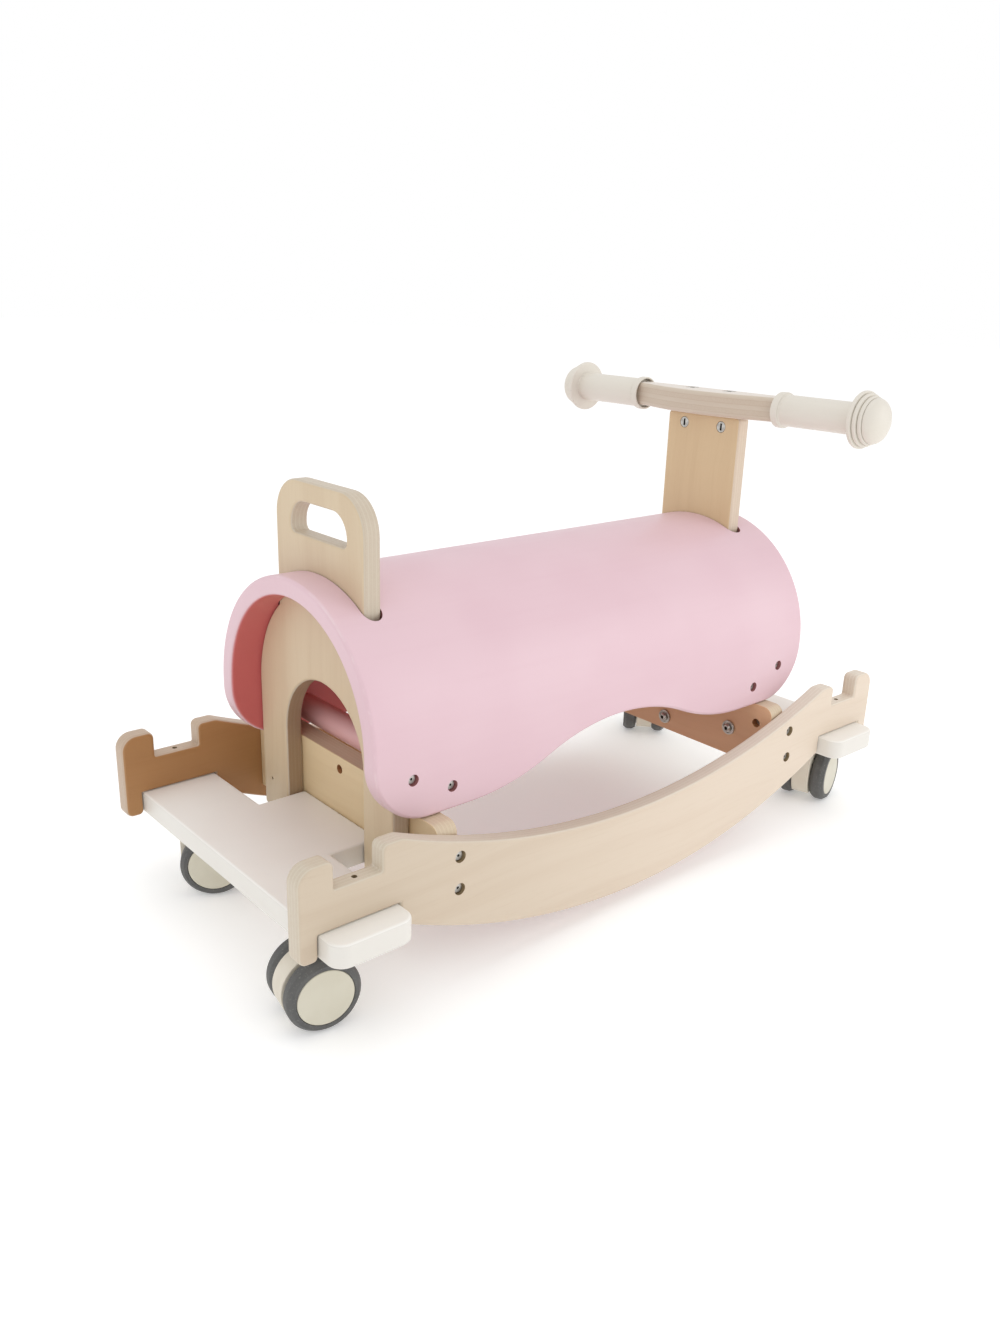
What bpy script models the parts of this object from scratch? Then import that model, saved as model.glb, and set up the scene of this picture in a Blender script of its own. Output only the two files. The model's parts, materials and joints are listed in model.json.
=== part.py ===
"""Wooden ride-on rocker for a small child, standing on four twin-wheel castors.

Metres, +X to the front, +Y to the left, +Z up. The origin lies on the floor below the middle of the
seat. A name that ends in _H is a height above the underside of the two castor boards, the face that
the castors carry, so the whole frame rises and falls with the wheels.
"""

import math

import bmesh
import bpy
from mathutils import Matrix, Vector

for old in list(bpy.data.objects):
    bpy.data.objects.remove(old)

# Board stock and clearances
PLY = 0.015
BOARD = 0.018
FIT = 0.0003
SHOULDER_SLACK = 0.0006
SLOT_SLACK = 0.0004
EDGE_ROUND = 0.0025

# Seat shell: ply bent to a tunnel, with a lobed lower edge and a waist
SHELL_LENGTH = 0.492
SHELL_RADIUS = 0.109
SHELL_WALL = 0.015
SHELL_AXIS_H = 0.1075
LOBE_H = 0.056
LOBE_RADIUS = 0.048
LOBE_FLAT = 0.038
WAIST_RISE = 0.034
SHELL_ROUND = 0.003
SHELL_SIDES = 30
ALMOST_ROUND = 0.999

# Upright panels in the shell's two ends, the rear one with the backrest, the front one with the post
PANEL_INSET = 0.0262
LEG_WIDTH = 0.0392
ARCH_SPRING_H = 0.0765
PANEL_FOOT_CORNER = 0.004
BACKREST_HALF = 0.059
BACKREST_TOP_H = 0.2815
BACKREST_CORNER = 0.029
HANDLE_HALF = 0.037
HANDLE_BELOW_TOP = 0.0155
HANDLE_HEIGHT = 0.024
HANDLE_TOP_CORNER = 0.018
HANDLE_LOW_CORNER = 0.005
POST_HALF = 0.0425
POST_TOP_H = 0.311
POST_CORNER = 0.004

# Cross boards that tie the rails, and the round spreaders between the shell's walls
CROSS_LOW_H = -0.0045
CROSS_TOP_H = 0.0665
CROSS_CORNER = 0.009
CROSS_TOP_CORNER = 0.003
CROSS_HOLE_H = 0.056
CROSS_HOLE_RADIUS = 0.00375
ROD_RADIUS = 0.011
ROD_H = 0.0745
ROD_AHEAD = 0.0089

# Rocker rails: heights of the two curved edges at the middle and at their outer ends
SIDE_GAP = 0.0175
RAIL_REACH = 0.0815
RAIL_LOW_H = -0.054
RAIL_HEEL_H = 0.0019
RAIL_TOP_H = 0.0184
RAIL_CREST_H = 0.067
RAIL_HORN_H = 0.069
RAIL_HORN_WIDTH = 0.0275
RAIL_FOOT_H = -0.001
RAIL_FOOT_WIDTH = 0.0145
RAIL_FOOT_GAP = 0.0005
NOTCH_FLOOR_H = 0.0475
NOTCH_WIDTH = 0.038
CREST_FLAT = 0.017
CREST_BEND = 0.012
CREST_CORNER = 0.0035
HORN_OUTER_CORNER = 0.010
HORN_INNER_CORNER = 0.0035
NOTCH_CORNER = 0.0012
FOOT_INNER_CORNER = 0.004
FOOT_OUTER_CORNER = 0.006
RAIL_ARC_STEPS = 18

# Castor boards
DECK_DEPTH = 0.065
DECK_OVERHANG = 0.0205
DECK_CORNER = 0.012
DECK_ROUND = 0.0022
TONGUE_SIDE_GAP = 0.0015
TONGUE_CORNER = 0.004

# Handlebar and turned grips, with distances measured outwards from the middle of the bar
BAR_THICK = 0.022
BAR_REAR = 0.0243
BAR_REAR_AT_BOW_END = 0.0123
BAR_FRONT = 0.011
BOW_HALF = 0.066
BAR_END_HALF = 0.010
BAR_END = 0.084
BAR_END_STRAIGHT = 0.009
BAR_ROUND = 0.0045
TENON_RADIUS = 0.0095
TENON_END = 0.169
GRIP_START = 0.080
GRIP_END = 0.1855
GRIP_MOUTH_RADIUS = 0.014
GRIP_MOUTH_DEPTH = 0.006
GRIP_FLANGE_RADIUS = 0.0157
GRIP_FLANGE_WIDTH = 0.0075
GRIP_BODY_RADIUS = 0.0137
GRIP_RING_RADII = (0.0245, 0.0225, 0.0205)
GRIP_RING_WIDTH = 0.004
GRIP_RING_START = 0.1625
GRIP_KNOB_RADIUS = 0.019
GRIP_DOME = 0.010
GRIP_EASE = 0.0008
GRIP_SIDES = 20

# Twin-wheel castors
WHEEL_RADIUS = 0.0275
TYRE_WIDTH = 0.014
WHEEL_SPACING = 0.033
TYRE_SHOULDER = 0.0038
HUB_RADIUS = 0.021
HUB_EDGE = 0.0006
HUB_CROWN = 0.0004
TRAIL = 0.0165
CASTOR_HEAD = 0.014
CUP_HEIGHT = 0.005
CUP_RADIUS = 0.015
PLATE_THICK = 0.0022
PLATE_HALF = 0.021
PLATE_CORNER = 0.006
BOSS_RADIUS = 0.014
BOSS_HEIGHT = 0.0052
HOOD_UNDER_TREAD = 0.0003
HOOD_LOW = 0.0095
NECK_AHEAD = 0.012
HOUSING_WIDTH = 0.017
KINGPIN_RADIUS = 0.004
KINGPIN_DEPTH = 0.0112
AXLE_RADIUS = 0.003
AXLE_HALF = 0.0205
STEM_IN_FROM_RAIL = 0.018
WHEEL_SIDES = 20
CUP_SIDES = 12
PIN_SIDES = 8
# Headings that the four castors trail in, in degrees from +X
TRAIL_HEADINGS = {"rear_right": 170.0, "rear_left": 331.5, "front_right": 16.5, "front_left": 42.0}

# Fasteners
BOLT_RADIUS = 0.003
BOLT_HOLE_RADIUS = 0.0033
COUNTERSINK_RADIUS = 0.0064
HEAD_SUNK = 0.0005
HEAD_SIDE_GAP = 0.00045
RAIL_BOLT_LENGTH = 0.042
RAIL_BOLT_HEIGHTS = (0.037, 0.011)
NUT_RADIUS = 0.005
NUT_HOLE_RADIUS = 0.0053
NUT_FROM_RAIL = 0.0165
NUT_POCKET_DEPTH = 0.014
LEG_BOLT_H = 0.023
LEG_BOLT_IN = 0.0139
TONGUE_BOLT_REACH = 0.035
WASHER_RADIUS = 0.007
WASHER_THICK = 0.0015
CAP_RADIUS = 0.0055
CAP_HEIGHT = 0.003
POST_BOLT_HALF_SPACING = 0.022
POST_NUT_BELOW_TOP = 0.010
POST_BOLT_RUN_ON = 0.006
BAR_HEAD_RADIUS = 0.0062
BAR_HEAD_HEIGHT = 0.0028
BAR_HEAD_EASE = 0.0006
NOTCH_HOLE_RADIUS = 0.0025

# Colours
PINK = (0.84, 0.60, 0.64)
BIRCH = (0.74, 0.58, 0.40)
WHITE = (0.80, 0.77, 0.70)
CREAM = (0.78, 0.74, 0.66)
GREY_RUBBER = (0.13, 0.13, 0.125)
STEEL = (0.62, 0.62, 0.60)

# Places that follow from the sizes above
DECK_Z = 2 * WHEEL_RADIUS + CASTOR_HEAD
SHELL_END = SHELL_LENGTH / 2
SHELL_INSIDE = SHELL_RADIUS - SHELL_WALL
PANEL_OUT_X = SHELL_END - PANEL_INSET
PANEL_X = PANEL_OUT_X - PLY / 2
PANEL_RADIUS = SHELL_INSIDE - FIT
ARCH_RADIUS = PANEL_RADIUS - LEG_WIDTH
CROSS_X = PANEL_OUT_X - PLY - FIT - BOARD / 2
ROD_X = CROSS_X - BOARD / 2 - ROD_AHEAD
RAIL_HALF = SHELL_END + RAIL_REACH
RAIL_INSIDE = SHELL_RADIUS + SIDE_GAP
RAIL_Y = RAIL_INSIDE + PLY / 2
CROSS_HALF = RAIL_INSIDE - FIT
DECK_OUT_X = RAIL_HALF - RAIL_FOOT_WIDTH - RAIL_FOOT_GAP
DECK_IN_X = DECK_OUT_X - DECK_DEPTH
DECK_X = (DECK_OUT_X + DECK_IN_X) / 2
TONGUE_HALF = ARCH_RADIUS - TONGUE_SIDE_GAP
LEG_BOLT_Y = PANEL_RADIUS - LEG_BOLT_IN
NUT_Y = RAIL_INSIDE - NUT_FROM_RAIL
STEM_Y = RAIL_INSIDE - STEM_IN_FROM_RAIL
BAR_H = POST_TOP_H + FIT + BAR_THICK / 2


def arc(centre, radius, start, end, steps):
    """Corners without a radius along an arc, both of its ends among them. Angles are in degrees."""
    angles = [math.radians(start + (end - start) * i / steps) for i in range(steps + 1)]
    return [(centre[0] + radius * math.cos(a), centre[1] + radius * math.sin(a), 0.0) for a in angles]


def fillet(corners, step=30.0):
    """Closed outline through (a, b, radius) corners, each rounded by an arc of its own radius."""
    points = []
    for i, (a, b, radius) in enumerate(corners):
        here = Vector((a, b))
        if radius == 0.0:
            points.append(here)
            continue
        back = (Vector(corners[i - 1][:2]) - here).normalized()
        ahead = (Vector(corners[(i + 1) % len(corners)][:2]) - here).normalized()
        half_angle = back.angle(ahead) / 2
        centre = here + (back + ahead).normalized() * radius / math.sin(half_angle)
        first = here + back * radius / math.tan(half_angle) - centre
        turn = math.pi - 2 * half_angle
        if back.x * ahead.y - back.y * ahead.x > 0:
            turn = -turn
        count = max(2, math.ceil(abs(math.degrees(turn)) / step))
        for k in range(count + 1):
            points.append(centre + Matrix.Rotation(turn * k / count, 2) @ first)
    return points


def prism(mesh, outline, axis, low, high):
    """Adds an outline that lies across the axis, extruded from low to high along it."""
    place = {
        "X": lambda a, b, c: Vector((c, a, b)),
        "Y": lambda a, b, c: Vector((a, c, b)),
        "Z": lambda a, b, c: Vector((a, b, c)),
    }[axis]
    face = mesh.faces.new([mesh.verts.new(place(a, b, low)) for a, b in outline])
    grown = bmesh.ops.extrude_face_region(mesh, geom=[face])["geom"]
    moved = [item for item in grown if isinstance(item, bmesh.types.BMVert)]
    bmesh.ops.translate(mesh, verts=moved, vec=place(0, 0, high - low))


def turned(mesh, profile, sides, matrix=None):
    """Adds a profile of (radius, height) spun about Z. One that starts off the axis closes on itself."""
    before = set(mesh.verts)
    half_side = math.pi / sides
    column = []
    for radius, height in profile:
        column.append(mesh.verts.new((radius * math.cos(half_side), radius * math.sin(half_side), height)))
    edges = [mesh.edges.new(pair) for pair in zip(column, column[1:])]
    if profile[0][0] > 0.0:
        edges.append(mesh.edges.new((column[-1], column[0])))
    bmesh.ops.spin(
        mesh,
        geom=column + edges,
        cent=(0, 0, 0),
        axis=(0, 0, 1),
        angle=2 * math.pi,
        steps=sides,
        use_merge=True,
    )
    fresh = [vert for vert in mesh.verts if vert not in before]
    bmesh.ops.remove_doubles(mesh, verts=fresh, dist=0.000001)
    if matrix:
        bmesh.ops.transform(mesh, matrix=matrix, verts=[v for v in mesh.verts if v not in before])


def lying(axis, place=(0, 0, 0)):
    """Matrix that lays a turned piece's own Z along a signed axis, at a place."""
    turn = {
        "+X": Matrix.Rotation(math.pi / 2, 4, "Y"),
        "-X": Matrix.Rotation(-math.pi / 2, 4, "Y"),
        "+Y": Matrix.Rotation(-math.pi / 2, 4, "X"),
        "-Y": Matrix.Rotation(math.pi / 2, 4, "X"),
        "+Z": Matrix(),
        "-Z": Matrix.Rotation(math.pi, 4, "X"),
    }[axis]
    return Matrix.Translation(place) @ turn


def pin(radius, low, high):
    return [(0.0, low), (radius, low), (radius, high), (0.0, high)]


def place_object(name, mesh, parent, location, turn_z):
    bmesh.ops.recalc_face_normals(mesh, faces=mesh.faces)
    data = bpy.data.meshes.new(name)
    mesh.to_mesh(data)
    mesh.free()
    data.shade_smooth()
    data.set_sharp_from_angle(angle=math.radians(35))
    made = bpy.data.objects.new(name, data)
    bpy.context.scene.collection.objects.link(made)
    made.parent = parent
    made.location = location
    made.rotation_euler.z = turn_z
    return made


def piece(name, mesh, colour, roughness, metallic=0.0, parent=None, location=(0, 0, 0), turn_z=0.0):
    """A named object with its own material."""
    made = place_object(name, mesh, parent, location, turn_z)
    material = bpy.data.materials.new(name)
    material.use_nodes = True
    shader = material.node_tree.nodes["Principled BSDF"]
    shader.inputs["Base Color"].default_value = (*colour, 1.0)
    shader.inputs["Roughness"].default_value = roughness
    shader.inputs["Metallic"].default_value = metallic
    made.data.materials.append(material)
    return made


def helper(name, mesh, parent):
    """A shape that only cuts or joins: it shows as wires and is never rendered."""
    made = place_object(name, mesh, parent, (0, 0, 0), 0.0)
    made.hide_render = True
    made.display_type = "WIRE"
    return made


def combine(target, mesh, operation):
    """Boolean of a helper mesh, given in the target's own coordinates."""
    count = len(target.modifiers)
    other = helper(f"{target.name}_{operation.lower()}_{count}", mesh, target)
    modifier = target.modifiers.new(other.name, "BOOLEAN")
    modifier.operation = operation
    modifier.solver = "EXACT"
    modifier.object = other


def soften(target, width, segments=1, by_weight=False):
    """Rounds the sharp edges as a router does, or only those given a weight."""
    modifier = target.modifiers.new("rounded_edges", "BEVEL")
    modifier.width = width
    modifier.segments = segments
    modifier.limit_method = "WEIGHT" if by_weight else "ANGLE"
    modifier.angle_limit = math.radians(40)
    modifier.use_clamp_overlap = False


def empty(name, location, parent=None, turn_z=0.0):
    made = bpy.data.objects.new(name, None)
    bpy.context.scene.collection.objects.link(made)
    made.parent = parent
    made.location = location
    made.rotation_euler.z = turn_z
    return made


frame = empty("frame", (0, 0, DECK_Z))


def make_shell():
    """Tunnel section run the length of the seat, trimmed by its side outline and slotted for the panels."""
    spring = SHELL_AXIS_H
    past = 0.02
    section = arc((0, spring), SHELL_RADIUS, 0, 180, SHELL_SIDES)
    section += [(-SHELL_RADIUS, LOBE_H - past, 0.0), (-SHELL_INSIDE, LOBE_H - past, 0.0)]
    section += arc((0, spring), SHELL_INSIDE, 180, 0, SHELL_SIDES)
    section += [(SHELL_INSIDE, LOBE_H - past, 0.0), (SHELL_RADIUS, LOBE_H - past, 0.0)]
    body = bmesh.new()
    prism(body, fillet(section), "X", -SHELL_END - past, SHELL_END + past)
    shell = piece("seat_shell", body, PINK, 0.42, parent=frame)

    lobe_x = SHELL_END - LOBE_RADIUS
    waist_x = lobe_x - LOBE_FLAT
    half_rise = WAIST_RISE / 2
    waist_radius = ((waist_x / 2) ** 2 + half_rise**2) / (2 * half_rise)
    swing = math.degrees(math.asin(waist_x / 2 / waist_radius))
    crown = arc((0, LOBE_H + WAIST_RISE - waist_radius), waist_radius, 90 + swing, 90 - swing, 10)
    hollow = arc((waist_x, LOBE_H + waist_radius), waist_radius, 270 - swing, 270, 5)
    lobe = arc((lobe_x, LOBE_H + LOBE_RADIUS), LOBE_RADIUS, 270, 360, 10)
    right_side = hollow[1:] + lobe
    left_side = [(-x, z, r) for x, z, r in reversed(right_side)]
    over = spring + SHELL_RADIUS + past
    side = left_side + crown + right_side + [(SHELL_END, over, 0.0), (-SHELL_END, over, 0.0)]
    trim = bmesh.new()
    prism(trim, fillet(side), "Y", -SHELL_RADIUS - past, SHELL_RADIUS + past)
    combine(shell, trim, "INTERSECT")
    soften(shell, SHELL_ROUND)

    slots = bmesh.new()
    slot_half = PLY / 2 + SLOT_SLACK
    for x, half in ((-PANEL_X, BACKREST_HALF), (PANEL_X, POST_HALF)):
        reach = half + SLOT_SLACK + slot_half
        signs = ((1, 1), (-1, 1), (-1, -1), (1, -1))
        outline = fillet([(x + a * slot_half, b * reach, slot_half * ALMOST_ROUND) for a, b in signs])
        low = spring + math.sqrt(SHELL_INSIDE**2 - reach**2) - past / 2
        prism(slots, outline, "Z", low, over)
    combine(shell, slots, "DIFFERENCE")


def make_panel(name, side, upper_half, upper_top, upper_corner):
    """Panel on two legs that fills the shell's section, with an arch between them and a part above it."""
    join_angle = math.degrees(math.acos(upper_half / PANEL_RADIUS))
    right = [(PANEL_RADIUS, CROSS_LOW_H, PANEL_FOOT_CORNER)]
    right += arc((0, SHELL_AXIS_H), PANEL_RADIUS, 0, join_angle, 8)
    right += [(upper_half, upper_top, upper_corner)]
    left = [(-y, z, r) for y, z, r in reversed(right)]
    arch = [(-ARCH_RADIUS, CROSS_LOW_H, PANEL_FOOT_CORNER)]
    arch += arc((0, ARCH_SPRING_H), ARCH_RADIUS, 180, 0, 18)
    arch += [(ARCH_RADIUS, CROSS_LOW_H, PANEL_FOOT_CORNER)]
    body = bmesh.new()
    prism(body, fillet(right + left + arch), "X", -PLY / 2, PLY / 2)
    return piece(name, body, BIRCH, 0.55, parent=frame, location=(side * PANEL_X, 0, 0))


def leg_bolt_holes(past):
    holes = bmesh.new()
    for y in (-LEG_BOLT_Y, LEG_BOLT_Y):
        turned(holes, pin(BOLT_HOLE_RADIUS, -past, past), PIN_SIDES, lying("+X", (0, y, LEG_BOLT_H)))
    return holes


def make_backrest():
    panel = make_panel("backrest_panel", -1, BACKREST_HALF, BACKREST_TOP_H, BACKREST_CORNER)
    top = BACKREST_TOP_H - HANDLE_BELOW_TOP
    low = top - HANDLE_HEIGHT
    handle = bmesh.new()
    outline = fillet(
        [
            (HANDLE_HALF, low, HANDLE_LOW_CORNER),
            (HANDLE_HALF, top, HANDLE_TOP_CORNER),
            (-HANDLE_HALF, top, HANDLE_TOP_CORNER),
            (-HANDLE_HALF, low, HANDLE_LOW_CORNER),
        ]
    )
    prism(handle, outline, "X", -PLY, PLY)
    combine(panel, handle, "DIFFERENCE")
    soften(panel, EDGE_ROUND)
    combine(panel, leg_bolt_holes(PLY), "DIFFERENCE")


def make_post():
    panel = make_panel("handlebar_post", 1, POST_HALF, POST_TOP_H, POST_CORNER)
    soften(panel, EDGE_ROUND)
    combine(panel, leg_bolt_holes(PLY), "DIFFERENCE")
    holes = bmesh.new()
    nut_h = POST_TOP_H - POST_NUT_BELOW_TOP
    depth = POST_NUT_BELOW_TOP + POST_BOLT_RUN_ON + 2 * FIT
    for y in (-POST_BOLT_HALF_SPACING, POST_BOLT_HALF_SPACING):
        turned(holes, pin(NUT_HOLE_RADIUS, -PLY, PLY), PIN_SIDES, lying("+X", (0, y, nut_h)))
    combine(panel, holes, "DIFFERENCE")
    bores = bmesh.new()
    for y in (-POST_BOLT_HALF_SPACING, POST_BOLT_HALF_SPACING):
        turned(bores, pin(BOLT_HOLE_RADIUS, -PLY, depth), PIN_SIDES, lying("-Z", (0, y, POST_TOP_H)))
    combine(panel, bores, "DIFFERENCE")


def make_cross_board(name, side):
    """Board on edge between the rails, raised between the shell's walls and with shoulders under them."""
    raised_half = SHELL_INSIDE - SHOULDER_SLACK
    shoulder_h = LOBE_H - SHOULDER_SLACK
    right = [
        (CROSS_HALF, CROSS_LOW_H, 0.0),
        (CROSS_HALF, shoulder_h, CROSS_CORNER),
        (raised_half, shoulder_h, 0.0),
        (raised_half, CROSS_TOP_H, CROSS_TOP_CORNER),
    ]
    left = [(-y, z, r) for y, z, r in reversed(right)]
    body = bmesh.new()
    prism(body, fillet(right + left), "X", -BOARD / 2, BOARD / 2)
    board = piece(name, body, BIRCH, 0.55, parent=frame, location=(side * CROSS_X, 0, 0))
    holes = leg_bolt_holes(BOARD)
    turned(holes, pin(BOLT_HOLE_RADIUS, -BOARD, BOARD), PIN_SIDES, lying("+X", (0, 0, BOARD / 2)))
    turned(holes, pin(CROSS_HOLE_RADIUS, -BOARD, BOARD), PIN_SIDES, lying("+X", (0, 0, CROSS_HOLE_H)))
    outward = "+X" if side > 0 else "-X"
    inner_face = -side * BOARD / 2
    for y in (-NUT_Y, NUT_Y):
        pocket = pin(NUT_HOLE_RADIUS, -BOARD, NUT_POCKET_DEPTH)
        turned(holes, pocket, PIN_SIDES, lying(outward, (inner_face, y, RAIL_BOLT_HEIGHTS[0])))
    combine(board, holes, "DIFFERENCE")
    bores = bmesh.new()
    depth = RAIL_BOLT_LENGTH - PLY + 2 * FIT
    for height in RAIL_BOLT_HEIGHTS:
        turned(bores, pin(BOLT_HOLE_RADIUS, -depth, PLY), PIN_SIDES, lying("+Y", (0, CROSS_HALF, height)))
        turned(bores, pin(BOLT_HOLE_RADIUS, -depth, PLY), PIN_SIDES, lying("-Y", (0, -CROSS_HALF, height)))
    combine(board, bores, "DIFFERENCE")


def curve_through(half_chord, middle_h, end_h, steps):
    """Shallow arc from -half_chord to half_chord, rising from middle_h to end_h."""
    rise = end_h - middle_h
    radius = (half_chord**2 + rise**2) / (2 * rise)
    swing = math.degrees(math.asin(half_chord / radius))
    return arc((0, middle_h + radius), radius, 270 - swing, 270 + swing, steps)


def make_rail(name, side):
    """Curved side rail with a notched horn at each end and a seat for the castor board under it."""
    horn_in = RAIL_HALF - RAIL_HORN_WIDTH
    notch_in = horn_in - NOTCH_WIDTH
    crest_in = notch_in - CREST_FLAT
    seat_in = DECK_IN_X - FIT
    seat_out = RAIL_HALF - RAIL_FOOT_WIDTH
    seat_roof = BOARD + FIT
    lower = curve_through(seat_in, RAIL_LOW_H, RAIL_HEEL_H, RAIL_ARC_STEPS)
    end = [
        (seat_in, seat_roof, 0.0),
        (seat_out, seat_roof, 0.0),
        (seat_out, RAIL_FOOT_H, FOOT_INNER_CORNER),
        (RAIL_HALF, RAIL_FOOT_H, FOOT_OUTER_CORNER),
        (RAIL_HALF, RAIL_HORN_H, HORN_OUTER_CORNER),
        (horn_in, RAIL_HORN_H, HORN_INNER_CORNER),
        (horn_in, NOTCH_FLOOR_H, NOTCH_CORNER),
        (notch_in, NOTCH_FLOOR_H, NOTCH_CORNER),
        (notch_in, RAIL_CREST_H, CREST_CORNER),
        (crest_in, RAIL_CREST_H, CREST_BEND),
    ]
    upper = curve_through(crest_in, RAIL_TOP_H, RAIL_CREST_H, RAIL_ARC_STEPS)[1:-1]
    far_end = [(-x, z, r) for x, z, r in reversed(end)]
    body = bmesh.new()
    prism(body, fillet(lower + end + upper[::-1] + far_end), "Y", -PLY / 2, PLY / 2)
    turn = 0.0 if side > 0 else math.pi
    rail = piece(name, body, BIRCH, 0.55, parent=frame, location=(0, side * RAIL_Y, 0), turn_z=turn)
    soften(rail, EDGE_ROUND)
    holes = bmesh.new()
    sink = COUNTERSINK_RADIUS - BOLT_HOLE_RADIUS
    sunk_hole = [
        (0.0, sink),
        (COUNTERSINK_RADIUS, sink),
        (COUNTERSINK_RADIUS, 0.0),
        (BOLT_HOLE_RADIUS, -sink),
        (BOLT_HOLE_RADIUS, -2 * PLY),
        (0.0, -2 * PLY),
    ]
    for x in (-CROSS_X, CROSS_X):
        for height in RAIL_BOLT_HEIGHTS:
            turned(holes, sunk_hole, PIN_SIDES, lying("+Y", (x, PLY / 2, height)))
    for x in (-DECK_X, DECK_X):
        through = pin(NOTCH_HOLE_RADIUS, seat_roof - BOARD, NOTCH_FLOOR_H + PLY)
        turned(holes, through, PIN_SIDES, lying("+Z", (x, 0, 0)))
    combine(rail, holes, "DIFFERENCE")


def make_deck(name, side):
    """Castor board under the rail ends, with a tongue that reaches between the panel's legs."""
    half = RAIL_INSIDE + PLY + DECK_OVERHANG
    tongue_end = CROSS_X + BOARD / 2 + FIT
    right = [
        (DECK_IN_X, half, DECK_CORNER),
        (DECK_IN_X, TONGUE_HALF, 0.0),
        (tongue_end, TONGUE_HALF, TONGUE_CORNER),
        (tongue_end, -TONGUE_HALF, TONGUE_CORNER),
        (DECK_IN_X, -TONGUE_HALF, 0.0),
        (DECK_IN_X, -half, DECK_CORNER),
        (DECK_OUT_X, -half, DECK_CORNER),
        (DECK_OUT_X, half, DECK_CORNER),
    ]
    body = bmesh.new()
    prism(body, fillet(right), "Z", 0, BOARD)
    turn = 0.0 if side > 0 else math.pi
    deck = piece(name, body, WHITE, 0.45, parent=frame, turn_z=turn)
    soften(deck, DECK_ROUND)
    holes = bmesh.new()
    bore = pin(BOLT_HOLE_RADIUS, -BOARD, TONGUE_BOLT_REACH + 2 * FIT)
    turned(holes, bore, PIN_SIDES, lying("+X", (tongue_end, 0, BOARD / 2)))
    combine(deck, holes, "DIFFERENCE")


def make_rod(name, side):
    """Round spreader between the shell's walls, held by a screw through each wall."""
    length_half = SHELL_INSIDE - FIT
    body = bmesh.new()
    turned(body, pin(ROD_RADIUS, -length_half, length_half), 24, lying("+Y"))
    piece(name, body, PINK, 0.42, parent=frame, location=(side * ROD_X, 0, ROD_H))


def make_handlebar():
    """Bowed bar with a round tenon at each end. Its long edges are rounded and its end faces stay square."""
    sagitta = BAR_REAR - BAR_REAR_AT_BOW_END
    radius = (BOW_HALF**2 + sagitta**2) / (2 * sagitta)
    swing = math.degrees(math.asin(BOW_HALF / radius))
    bow = arc((radius - BAR_REAR, 0), radius, 180 - swing, 180 + swing, 8)
    shoulder = BAR_END - BAR_END_STRAIGHT
    outline = bow
    outline += [(-BAR_END_HALF, -shoulder, 0.0), (-BAR_END_HALF, -BAR_END, 0.0)]
    outline += [(BAR_END_HALF, -BAR_END, 0.0)]
    outline += [(BAR_END_HALF, -shoulder, 0.0), (BAR_FRONT, -BOW_HALF, 0.0), (BAR_FRONT, BOW_HALF, 0.0)]
    outline += [(BAR_END_HALF, shoulder, 0.0), (BAR_END_HALF, BAR_END, 0.0), (-BAR_END_HALF, BAR_END, 0.0)]
    outline += [(-BAR_END_HALF, shoulder, 0.0)]
    body = bmesh.new()
    prism(body, fillet(outline), "Z", -BAR_THICK / 2, BAR_THICK / 2)
    weight = body.edges.layers.float.new("bevel_weight_edge")
    for edge in body.edges:
        low, high = edge.verts[0].co, edge.verts[1].co
        along = abs(low.z - high.z) < FIT
        at_end = abs(abs(low.y) - BAR_END) < FIT and abs(abs(high.y) - BAR_END) < FIT
        edge[weight] = 1.0 if along and not at_end else 0.0
    bar = piece("handlebar", body, BIRCH, 0.5, parent=frame, location=(PANEL_X, 0, BAR_H))
    soften(bar, BAR_ROUND, 2, by_weight=True)
    tenons = bmesh.new()
    for axis in ("+Y", "-Y"):
        turned(tenons, pin(TENON_RADIUS, BAR_END - BAR_THICK, TENON_END), GRIP_SIDES, lying(axis))
    combine(bar, tenons, "UNION")
    holes = bmesh.new()
    head_seat = BAR_THICK / 2 - BAR_HEAD_HEIGHT - 2 * FIT
    profile = [
        (0.0, -BAR_THICK),
        (BOLT_HOLE_RADIUS, -BAR_THICK),
        (BOLT_HOLE_RADIUS, head_seat),
        (BAR_HEAD_RADIUS + FIT, head_seat),
        (BAR_HEAD_RADIUS + FIT, BAR_THICK),
        (0.0, BAR_THICK),
    ]
    for y in (-POST_BOLT_HALF_SPACING, POST_BOLT_HALF_SPACING):
        turned(holes, profile, PIN_SIDES, lying("+Z", (0, y, 0)))
    combine(bar, holes, "DIFFERENCE")


def grip_profile():
    """Half section of a grip, from the mouth that takes the bar's square end, over the rings, to the bore."""
    ease = GRIP_EASE
    bore = TENON_RADIUS + FIT
    flange_end = GRIP_START + GRIP_FLANGE_WIDTH
    profile = [
        (GRIP_MOUTH_RADIUS, GRIP_START),
        (GRIP_FLANGE_RADIUS - ease, GRIP_START),
        (GRIP_FLANGE_RADIUS, GRIP_START + ease),
        (GRIP_FLANGE_RADIUS, flange_end - ease),
        (GRIP_BODY_RADIUS, flange_end),
        (GRIP_BODY_RADIUS, GRIP_RING_START),
    ]
    start = GRIP_RING_START
    for radius in GRIP_RING_RADII:
        end = start + GRIP_RING_WIDTH
        profile += [(radius, start), (radius, end - ease), (radius - ease, end)]
        start = end
    profile.append((GRIP_KNOB_RADIUS, start))
    for angle in (0, 25, 50, 72, 90):
        lean = math.radians(angle)
        height = GRIP_END - GRIP_DOME * (1 - math.sin(lean))
        profile.append((GRIP_KNOB_RADIUS * round(math.cos(lean), 6), height))
    blind_end = TENON_END + 2 * FIT
    mouth_end = GRIP_START + GRIP_MOUTH_DEPTH
    inside = [(0.0, blind_end), (bore, blind_end), (bore, mouth_end), (GRIP_MOUTH_RADIUS, mouth_end)]
    return inside + profile


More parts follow.
